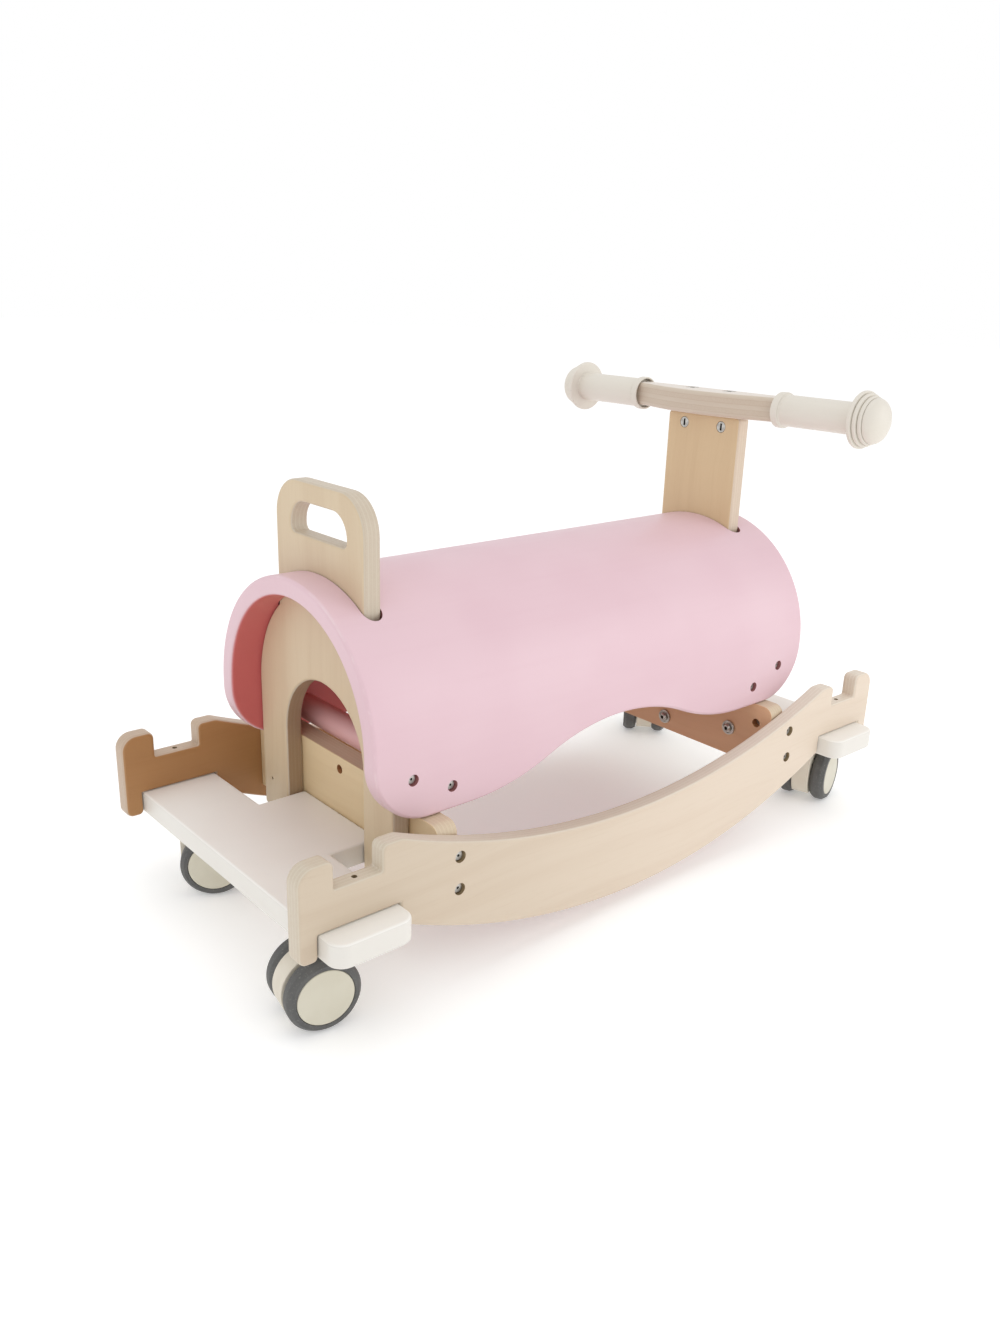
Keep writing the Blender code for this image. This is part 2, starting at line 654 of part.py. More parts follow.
def make_grip(name, axis):
    body = bmesh.new()
    turned(body, grip_profile(), GRIP_SIDES, lying(axis))
    piece(name, body, CREAM, 0.4, parent=frame, location=(PANEL_X, 0, BAR_H))


def make_castor(name, front, left):
    """Plate with its kingpin, swivelling housing, axle, and two wheels, each a hub in a tyre."""
    location = (front * DECK_X, left * STEM_Y, 0)
    steel = dict(colour=STEEL, roughness=0.35, metallic=1.0)
    plate_top = DECK_Z - FIT
    cup_top = plate_top - PLATE_THICK
    cup_low = cup_top - CUP_HEIGHT
    boss_top = cup_low - FIT
    body = bmesh.new()
    square = [(a * PLATE_HALF, b * PLATE_HALF, PLATE_CORNER) for a, b in ((1, -1), (1, 1), (-1, 1), (-1, -1))]
    prism(body, fillet(square), "Z", cup_top, plate_top)
    plate = piece(f"{name}_plate", body, parent=None, location=location, **steel)
    cup = bmesh.new()
    profile = [
        (0.0, boss_top - KINGPIN_DEPTH),
        (KINGPIN_RADIUS, boss_top - KINGPIN_DEPTH),
        (KINGPIN_RADIUS, cup_low),
        (CUP_RADIUS, cup_low),
        (CUP_RADIUS, cup_top + PLATE_THICK / 2),
        (0.0, cup_top + PLATE_THICK / 2),
    ]
    turned(cup, profile, CUP_SIDES)
    combine(plate, cup, "UNION")

    heading = math.radians(TRAIL_HEADINGS[name.removeprefix("castor_")])
    swivel = empty(f"{name}_swivel", location, turn_z=heading)
    body = bmesh.new()
    hood_radius = WHEEL_RADIUS - HOOD_UNDER_TREAD
    neck_top = boss_top - BOSS_HEIGHT / 2
    to_corner = Vector((NECK_AHEAD - TRAIL, neck_top - WHEEL_RADIUS))
    tangent = math.degrees(math.atan2(to_corner.y, to_corner.x) - math.acos(hood_radius / to_corner.length))
    dip = math.degrees(math.asin((WHEEL_RADIUS - HOOD_LOW) / hood_radius))
    outline = [(NECK_AHEAD, neck_top, 0.0), (TRAIL - hood_radius, neck_top, 0.0)]
    outline += arc((TRAIL, WHEEL_RADIUS), hood_radius, 180, 180 + dip, 3)
    outline += arc((TRAIL, WHEEL_RADIUS), hood_radius, 360 - dip, 360 + tangent, 8)
    prism(body, fillet(outline), "Y", -HOUSING_WIDTH / 2, HOUSING_WIDTH / 2)
    housing = piece(f"{name}_housing", body, CREAM, 0.4, parent=swivel)
    boss = bmesh.new()
    turned(boss, pin(BOSS_RADIUS, boss_top - BOSS_HEIGHT, boss_top), CUP_SIDES)
    combine(housing, boss, "UNION")
    bores = bmesh.new()
    pin_end = boss_top - KINGPIN_DEPTH - FIT
    turned(bores, pin(KINGPIN_RADIUS + FIT, pin_end, DECK_Z), CUP_SIDES)
    bore_half = HOUSING_WIDTH
    axle_bore = pin(AXLE_RADIUS + FIT, -bore_half, bore_half)
    turned(bores, axle_bore, PIN_SIDES, lying("+Y", (TRAIL, 0, WHEEL_RADIUS)))
    combine(housing, bores, "DIFFERENCE")

    axle = bmesh.new()
    turned(axle, pin(AXLE_RADIUS, -AXLE_HALF, AXLE_HALF), PIN_SIDES, lying("+Y"))
    piece(f"{name}_axle", axle, parent=swivel, location=(TRAIL, 0, WHEEL_RADIUS), **steel)

    for letter, axis, sign in (("a", "+Y", 1), ("b", "-Y", -1)):
        wheel = empty(f"{name}_wheel_{letter}", (TRAIL, sign * WHEEL_SPACING / 2, WHEEL_RADIUS), swivel)
        hub = bmesh.new()
        turned(hub, hub_profile(), WHEEL_SIDES, lying(axis))
        piece(f"{name}_hub_{letter}", hub, CREAM, 0.35, parent=wheel)
        tyre = bmesh.new()
        turned(tyre, tyre_profile(), WHEEL_SIDES, lying(axis))
        piece(f"{name}_tyre_{letter}", tyre, GREY_RUBBER, 0.6, parent=wheel)


def hub_profile():
    """Half section of a hub. Heights run outwards from the middle of the wheel's width."""
    face = TYRE_WIDTH / 2
    inner_end = HOUSING_WIDTH / 2 + FIT - WHEEL_SPACING / 2
    bore = AXLE_RADIUS + FIT
    bore_end = AXLE_HALF + FIT - WHEEL_SPACING / 2
    return [
        (0.0, bore_end),
        (bore, bore_end),
        (bore, inner_end),
        (HUB_RADIUS, inner_end),
        (HUB_RADIUS, face - HUB_EDGE),
        (HUB_RADIUS - HUB_EDGE, face),
        (0.0, face + HUB_CROWN),
    ]


def tyre_profile():
    """Half section of a tyre, a closed ring whose flats let it stand square on the floor."""
    face = TYRE_WIDTH / 2
    tread = WHEEL_RADIUS / math.cos(math.pi / WHEEL_SIDES)
    bore = HUB_RADIUS + FIT
    return [
        (bore, -face),
        (tread - TYRE_SHOULDER * 0.7, -face),
        (tread, TYRE_SHOULDER - face),
        (tread, face - TYRE_SHOULDER),
        (tread - TYRE_SHOULDER * 0.8, face),
        (bore, face),
    ]


def make_rail_bolt(name, x, side, height):
    """Countersunk bolt through the rail into the end of a cross board."""
    head_radius = COUNTERSINK_RADIUS - HEAD_SUNK - HEAD_SIDE_GAP
    top = -HEAD_SUNK
    body = bmesh.new()
    profile = [
        (0.0, top),
        (head_radius, top),
        (BOLT_RADIUS, top - (head_radius - BOLT_RADIUS)),
        (BOLT_RADIUS, -RAIL_BOLT_LENGTH),
        (0.0, -RAIL_BOLT_LENGTH),
    ]
    turned(body, profile, PIN_SIDES, lying("+Y" if side > 0 else "-Y"))
    place = (x, side * (RAIL_INSIDE + PLY), height)
    piece(name, body, STEEL, 0.3, 1.0, parent=frame, location=place)


def make_washer_bolt(name, side, y, height, reach):
    """Bolt with a wide washer on a cross board's inner face, running outwards."""
    body = bmesh.new()
    seat = -BOARD / 2 - FIT
    profile = [
        (0.0, seat - WASHER_THICK - CAP_HEIGHT),
        (CAP_RADIUS * 0.6, seat - WASHER_THICK - CAP_HEIGHT),
        (CAP_RADIUS, seat - WASHER_THICK - CAP_HEIGHT * 0.4),
        (CAP_RADIUS, seat - WASHER_THICK),
        (WASHER_RADIUS, seat - WASHER_THICK),
        (WASHER_RADIUS, seat),
        (BOLT_RADIUS, seat),
        (BOLT_RADIUS, BOARD / 2 + reach),
        (0.0, BOARD / 2 + reach),
    ]
    turned(body, profile, PIN_SIDES, lying("+X" if side > 0 else "-X"))
    piece(name, body, STEEL, 0.3, 1.0, parent=frame, location=(side * CROSS_X, y, height))


def make_post_bolt(name, y):
    """Bolt down through the handlebar into a barrel nut in the post."""
    body = bmesh.new()
    top = BAR_H + BAR_THICK / 2 - FIT
    low = POST_TOP_H - POST_NUT_BELOW_TOP - POST_BOLT_RUN_ON
    profile = [
        (0.0, low),
        (BOLT_RADIUS, low),
        (BOLT_RADIUS, top - BAR_HEAD_HEIGHT),
        (BAR_HEAD_RADIUS, top - BAR_HEAD_HEIGHT),
        (BAR_HEAD_RADIUS, top - BAR_HEAD_EASE),
        (BAR_HEAD_RADIUS - BAR_HEAD_EASE, top),
        (0.0, top),
    ]
    turned(body, profile, PIN_SIDES)
    piece(name, body, STEEL, 0.3, 1.0, parent=frame, location=(PANEL_X, y, 0))


def make_post_nut(name, y):
    """Barrel nut across the post, bored for its bolt."""
    body = bmesh.new()
    turned(body, pin(NUT_RADIUS, -PLY / 2, PLY / 2), PIN_SIDES, lying("+X"))
    place = (PANEL_X, y, POST_TOP_H - POST_NUT_BELOW_TOP)
    nut = piece(name, body, STEEL, 0.3, 1.0, parent=frame, location=place)
    bore = bmesh.new()
    turned(bore, pin(BOLT_HOLE_RADIUS, -2 * NUT_RADIUS, 2 * NUT_RADIUS), PIN_SIDES)
    combine(nut, bore, "DIFFERENCE")


make_shell()
make_backrest()
make_post()
for end, side in (("rear", -1), ("front", 1)):
    make_cross_board(f"cross_board_{end}", side)
    make_deck(f"castor_board_{end}", side)
    make_rod(f"spreader_rod_{end}", side)
    make_washer_bolt(f"leg_bolt_{end}_left", side, LEG_BOLT_Y, LEG_BOLT_H, FIT + PLY - 2 * FIT)
    make_washer_bolt(f"leg_bolt_{end}_right", side, -LEG_BOLT_Y, LEG_BOLT_H, FIT + PLY - 2 * FIT)
    make_washer_bolt(f"tongue_bolt_{end}", side, 0.0, BOARD / 2, FIT + TONGUE_BOLT_REACH)
for hand, side in (("right", -1), ("left", 1)):
    make_rail(f"rail_{hand}", side)
    make_post_bolt(f"bar_bolt_{hand}", side * POST_BOLT_HALF_SPACING)
    make_post_nut(f"bar_nut_{hand}", side * POST_BOLT_HALF_SPACING)
    for end, front in (("rear", -1), ("front", 1)):
        for level, height in zip(("upper", "lower"), RAIL_BOLT_HEIGHTS):
            make_rail_bolt(f"rail_bolt_{end}_{hand}_{level}", front * CROSS_X, side, height)
        make_castor(f"castor_{end}_{hand}", front, side)
make_handlebar()
make_grip("grip_left", "+Y")
make_grip("grip_right", "-Y")
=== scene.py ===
"""A child's wooden ride-on rocker on castors: its fine shapes and its finishes, built round the frame."""

import json
import math

import bmesh
import bpy
from mathutils import Matrix, Vector


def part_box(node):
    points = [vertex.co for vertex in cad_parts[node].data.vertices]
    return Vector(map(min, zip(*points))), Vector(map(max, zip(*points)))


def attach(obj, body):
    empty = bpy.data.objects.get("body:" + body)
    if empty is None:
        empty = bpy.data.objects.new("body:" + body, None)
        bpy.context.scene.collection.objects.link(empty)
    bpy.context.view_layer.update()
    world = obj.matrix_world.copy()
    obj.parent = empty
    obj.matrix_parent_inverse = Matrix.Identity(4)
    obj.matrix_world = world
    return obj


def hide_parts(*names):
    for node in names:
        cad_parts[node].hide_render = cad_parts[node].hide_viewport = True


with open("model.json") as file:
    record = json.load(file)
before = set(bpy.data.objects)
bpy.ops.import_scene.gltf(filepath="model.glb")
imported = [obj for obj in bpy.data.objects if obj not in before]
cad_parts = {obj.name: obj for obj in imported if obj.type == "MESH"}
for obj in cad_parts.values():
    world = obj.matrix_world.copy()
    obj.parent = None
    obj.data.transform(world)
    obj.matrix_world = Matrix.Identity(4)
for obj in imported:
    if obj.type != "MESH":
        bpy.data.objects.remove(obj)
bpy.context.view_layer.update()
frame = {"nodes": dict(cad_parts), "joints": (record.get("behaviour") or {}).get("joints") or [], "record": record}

# The studio: a seamless pale floor and soft white light from all round, with a large soft light at the
# front right, one overhead and a weaker one on the left. The camera stands where the picture was taken from.
floor_radius = 12.0
floor_lift = 0.26
room_light = 0.88
white_light = (1.0, 1.0, 1.0, 1.0)
lamp_target = Vector((0.0, 0.0, 0.18))
eye = Vector((-0.63925, -0.68244, 0.49086))
eye_heading = math.radians(48.71)
eye_dip = math.radians(19.05)
eye_lean = math.radians(1.84)
picture_height = 1333
focal_pixels = 1111.46
film_height = 36.0


def fill(tree, node, inputs):
    """Sets a node's inputs to plain values or joins them to other nodes' results."""
    for name, value in inputs.items():
        if isinstance(value, bpy.types.NodeSocket):
            tree.links.new(value, node.inputs[name])
        else:
            node.inputs[name].default_value = value


def add(tree, kind, inputs=None, **settings):
    """A shader node with its settings made and its inputs filled."""
    node = tree.nodes.new("ShaderNode" + kind)
    for name, value in settings.items():
        setattr(node, name, value)
    fill(tree, node, inputs or {})
    return node


def maths(tree, operation, *values):
    """The result of one sum on numbers or on other nodes' results."""
    return add(tree, "Math", dict(enumerate(values)), operation=operation).outputs["Value"]


def blended(tree, share, first, second, method="MIX"):
    """One colour laid over another by a share."""
    pair = [c if isinstance(c, bpy.types.NodeSocket) else (*c, 1.0) for c in (first, second)]
    node = add(tree, "Mix", {0: share, 6: pair[0], 7: pair[1]}, data_type="RGBA", blend_type=method)
    return node.outputs[2]


def mottle(tree, place, scale, detail=3.0, roughness=0.5, stretch=(1.0, 1.0, 1.0)):
    """Soft cloudy noise, drawn out along an axis by a small stretch value there."""
    spot = add(tree, "Mapping", {"Vector": place, "Scale": stretch}).outputs["Vector"]
    noise = add(tree, "TexNoise", {"Vector": spot, "Scale": scale, "Detail": detail, "Roughness": roughness})
    return noise.outputs["Fac"]


def between(tree, value, low, high, to_low=0.0, to_high=1.0):
    """A value carried from one range to another, with soft ends."""
    ends = {"Value": value, "From Min": low, "From Max": high, "To Min": to_low, "To Max": to_high}
    return add(tree, "MapRange", ends, interpolation_type="SMOOTHSTEP").outputs["Result"]


def blank_finish(name):
    """A new material, its node tree, its shader and the place on the piece."""
    material = bpy.data.materials.new(name)
    material.use_nodes = True
    tree = material.node_tree
    return material, tree, tree.nodes["Principled BSDF"], add(tree, "TexCoord").outputs["Object"]


def raise_surface(tree, shader, height, depth, strength=1.0):
    """Relief of a given depth in metres."""
    bump = add(tree, "Bump", {"Height": height, "Distance": depth, "Strength": strength})
    tree.links.new(bump.outputs["Normal"], shader.inputs["Normal"])


def made(name, mesh, matrix=None):
    """An object of a mesh, set down in its place."""
    data = bpy.data.meshes.new(name)
    mesh.to_mesh(data)
    mesh.free()
    thing = bpy.data.objects.new(name, data)
    bpy.context.scene.collection.objects.link(thing)
    thing.matrix_world = matrix or Matrix()
    return thing


floor_mesh = bmesh.new()
bmesh.ops.create_circle(floor_mesh, cap_ends=True, segments=96, radius=floor_radius)
floor = made("studio_floor", floor_mesh)
floor_finish, tree, shader, place = blank_finish("studio_floor")
floor_tone = blended(tree, mottle(tree, place, 3.0), (0.890, 0.890, 0.888), (0.910, 0.910, 0.908))
fill(tree, shader, {"Base Color": floor_tone, "Roughness": 0.9, "Specular IOR Level": 0.1})
fill(tree, shader, {"Emission Color": white_light, "Emission Strength": floor_lift})
floor.data.materials.append(floor_finish)

world = bpy.data.worlds.new("studio")
bpy.context.scene.world = world
world.use_nodes = True
room = world.node_tree
seen = add(room, "LightPath").outputs["Is Camera Ray"]
strength = add(room, "MapRange", {"Value": seen, "To Min": room_light, "To Max": 1.0}).outputs["Result"]
fill(room, room.nodes["Background"], {"Color": white_light, "Strength": strength})


def soft_light(name, place, size, power):
    """A square soft white light that faces the middle of the seat."""
    data = bpy.data.lights.new(name, "AREA")
    data.size = size
    data.energy = power
    lamp = bpy.data.objects.new(name, data)
    lamp.location = place
    lamp.rotation_euler = (lamp_target - lamp.location).to_track_quat("-Z", "Y").to_euler()
    bpy.context.scene.collection.objects.link(lamp)


soft_light("top_light", (-0.1, 0.1, 2.2), 1.6, 5.4)
soft_light("front_right_light", (1.0, -1.15, 0.6), 0.9, 3.2)
soft_light("camera_light", (-1.7, -1.3, 0.8), 1.5, 1.2)

camera_data = bpy.data.cameras.new("picture_camera")
camera_data.sensor_width = film_height
camera_data.lens = focal_pixels * film_height / picture_height
camera = bpy.data.objects.new("picture_camera", camera_data)
ahead = Vector((math.cos(eye_heading) * math.cos(eye_dip), math.sin(eye_heading) * math.cos(eye_dip), 0.0))
ahead.z = -math.sin(eye_dip)
level = Vector((math.sin(eye_heading), -math.cos(eye_heading), 0.0))
upright = level.cross(ahead)
right = math.cos(eye_lean) * level + math.sin(eye_lean) * upright
up = math.cos(eye_lean) * upright - math.sin(eye_lean) * level
turn = Matrix((right, up, -ahead)).transposed()
camera.matrix_world = Matrix.Translation(eye) @ turn.to_4x4()
bpy.context.scene.collection.objects.link(camera)
bpy.context.scene.camera = camera
bpy.context.scene.view_settings.view_transform = "Standard"

# The seat shell: layers of ply glued round a former into a tunnel with straight sides, the lower edge cut
# to two lobes and a waist, two slots cut through the top, all edges routed round, sprayed satin pink.
shell_wall = 0.015
shell_round = 0.003
lobe_radius = 0.048
lobe_flat = 0.038
waist_rise = 0.034
bend_step = 3
slot_half_width = 0.0082
slot_end_radius = 0.999 * slot_half_width
slot_reach = {"backrest_panel": 0.0648, "handlebar_post": 0.0483}
shell_screws = ((0.213, 0.158), (0.1776, 0.1438))
shell_screw_hole = 0.0045
shell_screw_depth = 0.0038
rim_x = 0.24
drill_overrun = 0.003
hair = 0.0001
hands = {"right": -1, "left": 1}
ends = {"rear": -1, "front": 1}
quarters = ((1, 1), (-1, 1), (-1, -1), (1, -1))
shell_low, shell_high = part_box("seat_shell")
shell_radius = shell_high.y
shell_mean = shell_radius - shell_wall / 2
shell_axis = shell_high.z - shell_radius
quarter_bend = shell_mean * math.pi / 2
slot_cut_from, slot_cut_to = shell_axis + 0.05, shell_high.z + 0.01
bodies = frame["record"]["behaviour"]["bodies"]
body_of = {member: body for body, members in bodies.items() for member in members}


def middle_of(node):
    """The middle of a node of the frame."""
    low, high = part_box(node)
    return (low + high) / 2


def arc(centre, radius, start, end, step=2.0):
    """Corners without a radius along an arc. Angles are in degrees."""
    count = max(2, math.ceil(abs(end - start) / step))
    angles = [math.radians(start + (end - start) * i / count) for i in range(count + 1)]
    return [(centre[0] + radius * math.cos(a), centre[1] + radius * math.sin(a), 0.0) for a in angles]


def rounded(corners, step=9.0, closed=True):
    """Points of an outline through (a, b, radius) corners, each rounded by an arc of its own radius."""
    points = []
    for i, (a, b, radius) in enumerate(corners):
        here = Vector((a, b))
        if radius == 0.0 or (not closed and i in (0, len(corners) - 1)):
            points.append(here)
            continue
        back = (Vector(corners[i - 1][:2]) - here).normalized()
        onward = (Vector(corners[(i + 1) % len(corners)][:2]) - here).normalized()
        half_angle = back.angle(onward) / 2
        centre = here + (back + onward).normalized() * radius / math.sin(half_angle)
        first = here + back * radius / math.tan(half_angle) - centre
        swing = math.pi - 2 * half_angle
        if back.x * onward.y - back.y * onward.x > 0:
            swing = -swing
        count = max(2, math.ceil(abs(math.degrees(swing)) / step))
        points += [centre + Matrix.Rotation(swing * k / count, 2) @ first for k in range(count + 1)]
    return points


def prism(outline, low, high):
    """Closed mesh of an outline in X and Y, carried from low to high along Z."""
    mesh = bmesh.new()
    ends = [[mesh.verts.new((a, b, height)) for a, b in outline] for height in (low, high)]
    mesh.faces.new(ends[0][::-1])
    mesh.faces.new(ends[1])
    for i in range(len(outline)):
        j = (i + 1) % len(outline)
        mesh.faces.new((ends[0][i], ends[0][j], ends[1][j], ends[1][i]))
    bmesh.ops.recalc_face_normals(mesh, faces=mesh.faces)
    return mesh


def turned(profile, sides=72, closed=False):
    """Mesh of a (radius, height) profile turned about Z. A point on the axis closes the end."""
    mesh = bmesh.new()
    rings = []
    for radius, height in profile:
        spots = [math.tau * i / sides for i in range(sides if radius > 0 else 1)]
        rings.append([mesh.verts.new((radius * math.cos(a), radius * math.sin(a), height)) for a in spots])
    pairs = list(zip(rings, rings[1:]))
    if closed:
        pairs.append((rings[-1], rings[0]))
    for lower, upper in pairs:
        for i in range(sides):
            j = (i + 1) % sides
            around = [ring[k % len(ring)] for ring, k in ((lower, i), (lower, j), (upper, j), (upper, i))]
            corners = list(dict.fromkeys(around))
            if len(corners) > 2:
                mesh.faces.new(corners)
    bmesh.ops.recalc_face_normals(mesh, faces=mesh.faces)
    return mesh


def facing(direction, place=(0.0, 0.0, 0.0)):
    """Matrix that lays a piece's own Z along a direction, at a place."""
    return Matrix.Translation(place) @ Vector(direction).to_track_quat("Z", "Y").to_matrix().to_4x4()


def settle(thing):
    """Works a piece's modifiers into its mesh."""
    bpy.context.view_layer.update()
    worked = thing.evaluated_get(bpy.context.evaluated_depsgraph_get())
    shape = bpy.data.meshes.new_from_object(worked)
    thing.modifiers.clear()
    thing.data = shape


def cut(thing, mesh, matrix=None, operation="DIFFERENCE"):
    """Cuts a tool, placed in the piece's own axes, out of a piece, or joins it on with UNION."""
    tool = made("tool", mesh, thing.matrix_world @ (matrix or Matrix()))
    boolean = thing.modifiers.new("cut", "BOOLEAN")
    boolean.operation = operation
    boolean.solver = "EXACT"
    boolean.object = tool
    settle(thing)
    bpy.data.objects.remove(tool)


def drill(thing, radius, depth, direction, place):
    """Drills a round hole from a place on a piece, against the direction that the hole opens in."""
    bit = turned([(0, -depth), (radius, -depth), (radius, drill_overrun), (0, drill_overrun)], 36)
    cut(thing, bit, facing(direction, place))


def ease_edges(thing, width, segments=4, weighted=False):
    """Rounds the sharp edges, or the weighted ones, as a router bit or sandpaper does."""
    bevel = thing.modifiers.new("ease", "BEVEL")
    bevel.width = width
    bevel.segments = segments
    bevel.limit_method = "WEIGHT" if weighted else "ANGLE"
    bevel.angle_limit = math.radians(40)
    bevel.use_clamp_overlap = False
    settle(thing)


def finished(thing, finish, node=None):
    """Shades a piece, gives it its finish and sets it on the frame, in place of a node if it has one."""
    thing.data.name = thing.name
    thing.data.shade_smooth()
    thing.data.set_sharp_from_angle(angle=math.radians(38))
    even = thing.modifiers.new("even_shading", "WEIGHTED_NORMAL")
    even.keep_sharp = True
    thing.data.materials.clear()
    thing.data.materials.append(finish)
    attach(thing, body_of[node] if node else "root")
    if node:
        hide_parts(node)


def shade_faces(thing, finish, inside):
    """Gives faces found by a test on their middle and normal a second finish, which holds painted shade."""
    thing.data.materials.append(finish)
    for face in thing.data.polygons:
        if inside(face.center, face.normal):
            face.material_index = 1


def shaded_hollow(name, light, dark):
    """Raw wood or steel inside a bore, slot or socket, never painted, darkened and mottled as painted shade."""
    material, tree, shader, place = blank_finish(name)
    shade_patches = between(tree, mottle(tree, place, 300.0, 3.0, 0.6), 0.35, 0.65)
    dry = between(tree, shade_patches, 0.0, 1.0, 0.75, 0.9)
    colour = blended(tree, shade_patches, light, dark)
    fill(tree, shader, {"Base Color": colour, "Roughness": dry, "Specular IOR Level": 0.2})
    raise_surface(tree, shader, mottle(tree, place, 1200.0, 2.0), 0.0001, 0.6)
    return material


def pink_paint():
    """Satin sprayed paint: faint grain under it, fine orange peel, painted shade on the tunnel's inside."""
    material, tree, shader, place = blank_finish("pink_paint")
    axes = add(tree, "SeparateXYZ", {"Vector": place})
    rise = maths(tree, "MAXIMUM", maths(tree, "SUBTRACT", axes.outputs["Z"], shell_axis), 0.0)
    sides = maths(tree, "MULTIPLY", axes.outputs["Y"], axes.outputs["Y"])
    reach = maths(tree, "SQRT", maths(tree, "ADD", sides, maths(tree, "MULTIPLY", rise, rise)))
    off_middle = maths(tree, "ABSOLUTE", maths(tree, "SUBTRACT", reach, shell_mean))
    from_face = maths(tree, "SUBTRACT", shell_wall / 2 - 0.3 * shell_round, off_middle)
    rub = between(tree, maths(tree, "ABSOLUTE", from_face), 0.0, 0.0009, 1.0, 0.0)
    patchy = between(tree, mottle(tree, place, 60.0, 4.0, 0.6), 0.42, 0.66)
    worn = maths(tree, "MULTIPLY", maths(tree, "MULTIPLY", rub, patchy), 0.5)
    cloud = mottle(tree, place, 9.0, 2.0)
    base = blended(tree, between(tree, cloud, 0.35, 0.65), (0.735, 0.512, 0.567), (0.755, 0.538, 0.590))
    grain = mottle(tree, place, 1.0, 4.0, 0.6, stretch=(7.0, 170.0, 170.0))
    base = blended(tree, between(tree, grain, 0.45, 0.75, 0.0, 0.14), base, (0.70, 0.47, 0.525))
    base = blended(tree, worn, base, (0.84, 0.68, 0.70))
    # Painted shade: the tunnel's inside is laid a deep red for its shade and the red light bounced in it.
    inner = between(tree, reach, shell_mean - shell_wall / 2, shell_mean - shell_wall / 2 + 0.0016, 1.0, 0.0)
    base = blended(tree, inner, base, (0.60, 0.135, 0.135))
    fine = mottle(tree, place, 520.0, 2.0, 0.5)
    gloss = between(tree, mottle(tree, place, 22.0, 3.0), 0.3, 0.7, 0.36, 0.47)
    fill(tree, shader, {"Base Color": base, "Roughness": gloss, "Specular IOR Level": 0.5})
    fill(tree, shader, {"Coat Weight": 0.12, "Coat Roughness": 0.3})
    relief = maths(tree, "ADD", maths(tree, "MULTIPLY", fine, 0.5), maths(tree, "MULTIPLY", grain, 0.6))
    raise_surface(tree, shader, relief, 0.00012, 0.5)
    return material


pink = pink_paint()


def unrolled_shell():
    """The shell laid flat: X along the seat, Y along the bent wall's middle layer, Z through the wall."""
    lobe_x = shell_high.x - lobe_radius
    waist_x = lobe_x - lobe_flat
    waist_radius = ((waist_x / 2) ** 2 + (waist_rise / 2) ** 2) / waist_rise
    swing = math.degrees(math.asin(waist_x / 2 / waist_radius))
    edge = arc((0.0, shell_low.z + waist_rise - waist_radius), waist_radius, 90, 90 - swing)
    edge += arc((waist_x, shell_low.z + waist_radius), waist_radius, 270 - swing, 270)[1:]
    edge += arc((lobe_x, shell_low.z + lobe_radius), lobe_radius, 270, 360, 3.0)
    edge = [(-x, z) for x, z, _ in reversed(edge[1:])] + [(x, z) for x, z, _ in edge]
    left = [(x, quarter_bend + shell_axis - z) for x, z in edge]
    return left + [(x, -s) for x, s in reversed(left)]


def bend(mesh):
    """Cuts the flat shell into narrow strips and lays them round the former."""
    for angle in range(-90, 91, bend_step):
        across = shell_mean * math.radians(angle)
        everything = mesh.verts[:] + mesh.edges[:] + mesh.faces[:]
        bmesh.ops.bisect_plane(mesh, geom=everything, plane_co=(0, across, 0), plane_no=(0, 1, 0), dist=1e-6)
    for vert in mesh.verts:
        x, across, depth = vert.co
        radius = shell_mean + depth
        angle = max(-math.pi / 2, min(math.pi / 2, across / shell_mean))
        straight = max(0.0, abs(across) - quarter_bend)
        vert.co = (x, radius * math.sin(angle), shell_axis + radius * math.cos(angle) - straight)
    return mesh


flat_shell = made("seat_shell_pink", prism(unrolled_shell(), -shell_wall / 2, shell_wall / 2))
ease_edges(flat_shell, shell_round)
bent = bmesh.new()
bent.from_mesh(flat_shell.data)
bpy.data.objects.remove(flat_shell)
shell = made("seat_shell_pink", bend(bent))
for node, reach in slot_reach.items():
    x = middle_of(node).x
    slot = rounded([(x + a * slot_half_width, b * reach, slot_end_radius) for a, b in quarters])
    cut(shell, prism(slot, slot_cut_from, slot_cut_to))
for side in hands.values():
    for x, z in shell_screws:
        for outward in ends.values():
            spot = (outward * x, side * shell_radius, z)
            drill(shell, shell_screw_hole, shell_screw_depth, (0, side, 0), spot)
finished(shell, pink, "seat_shell")


def in_shell_hollow(spot, normal):
    """Whether a face of the shell lies on the wall of a slot or in a screw's recess."""
    upright_wall = abs(normal.z) < 0.05 and abs(normal.x) > 0.01
    if upright_wall and spot.z > slot_cut_from and abs(spot.x) < rim_x:
        return any(abs(spot.y) < reach + 0.001 for reach in slot_reach.values())
    depth = shell_radius - abs(spot.y)
    from_screw = min(math.hypot(abs(spot.x) - x, spot.z - z) for x, z in shell_screws)
    return from_screw < shell_screw_hole + hair and 2 * hair < depth < shell_screw_depth + hair


# Painted shade: the shell's slot walls and screw recesses are laid a dark pink.
shade_faces(shell, shaded_hollow("shell_bore_shade", (0.42, 0.185, 0.185), (0.32, 0.135, 0.135)), in_shell_hollow)

# The spreader rods: two turned pink rods that hold the shell's sides apart, one at each end, each fixed
# by a screw through either wall.
rod_ease = 0.0008


def paint(name, light, shade, gloss=(0.36, 0.46), peel=480.0):
    """Satin paint: two near tones in soft clouds, fine orange peel and a little dust of wear."""
    material, tree, shader, place = blank_finish(name)
    cloud = between(tree, mottle(tree, place, 12.0), 0.35, 0.65)
    scuff = between(tree, mottle(tree, place, 130.0, 5.0, 0.7), 0.62, 0.74, 0.0, 0.25)
    colour = blended(tree, scuff, blended(tree, cloud, light, shade), tuple(c * 0.9 for c in shade))
    sheen = between(tree, mottle(tree, place, 30.0), 0.3, 0.7, *gloss)
    fill(tree, shader, {"Base Color": colour, "Roughness": sheen})
    raise_surface(tree, shader, mottle(tree, place, peel, 2.0), 0.0001, 0.4)
    return material
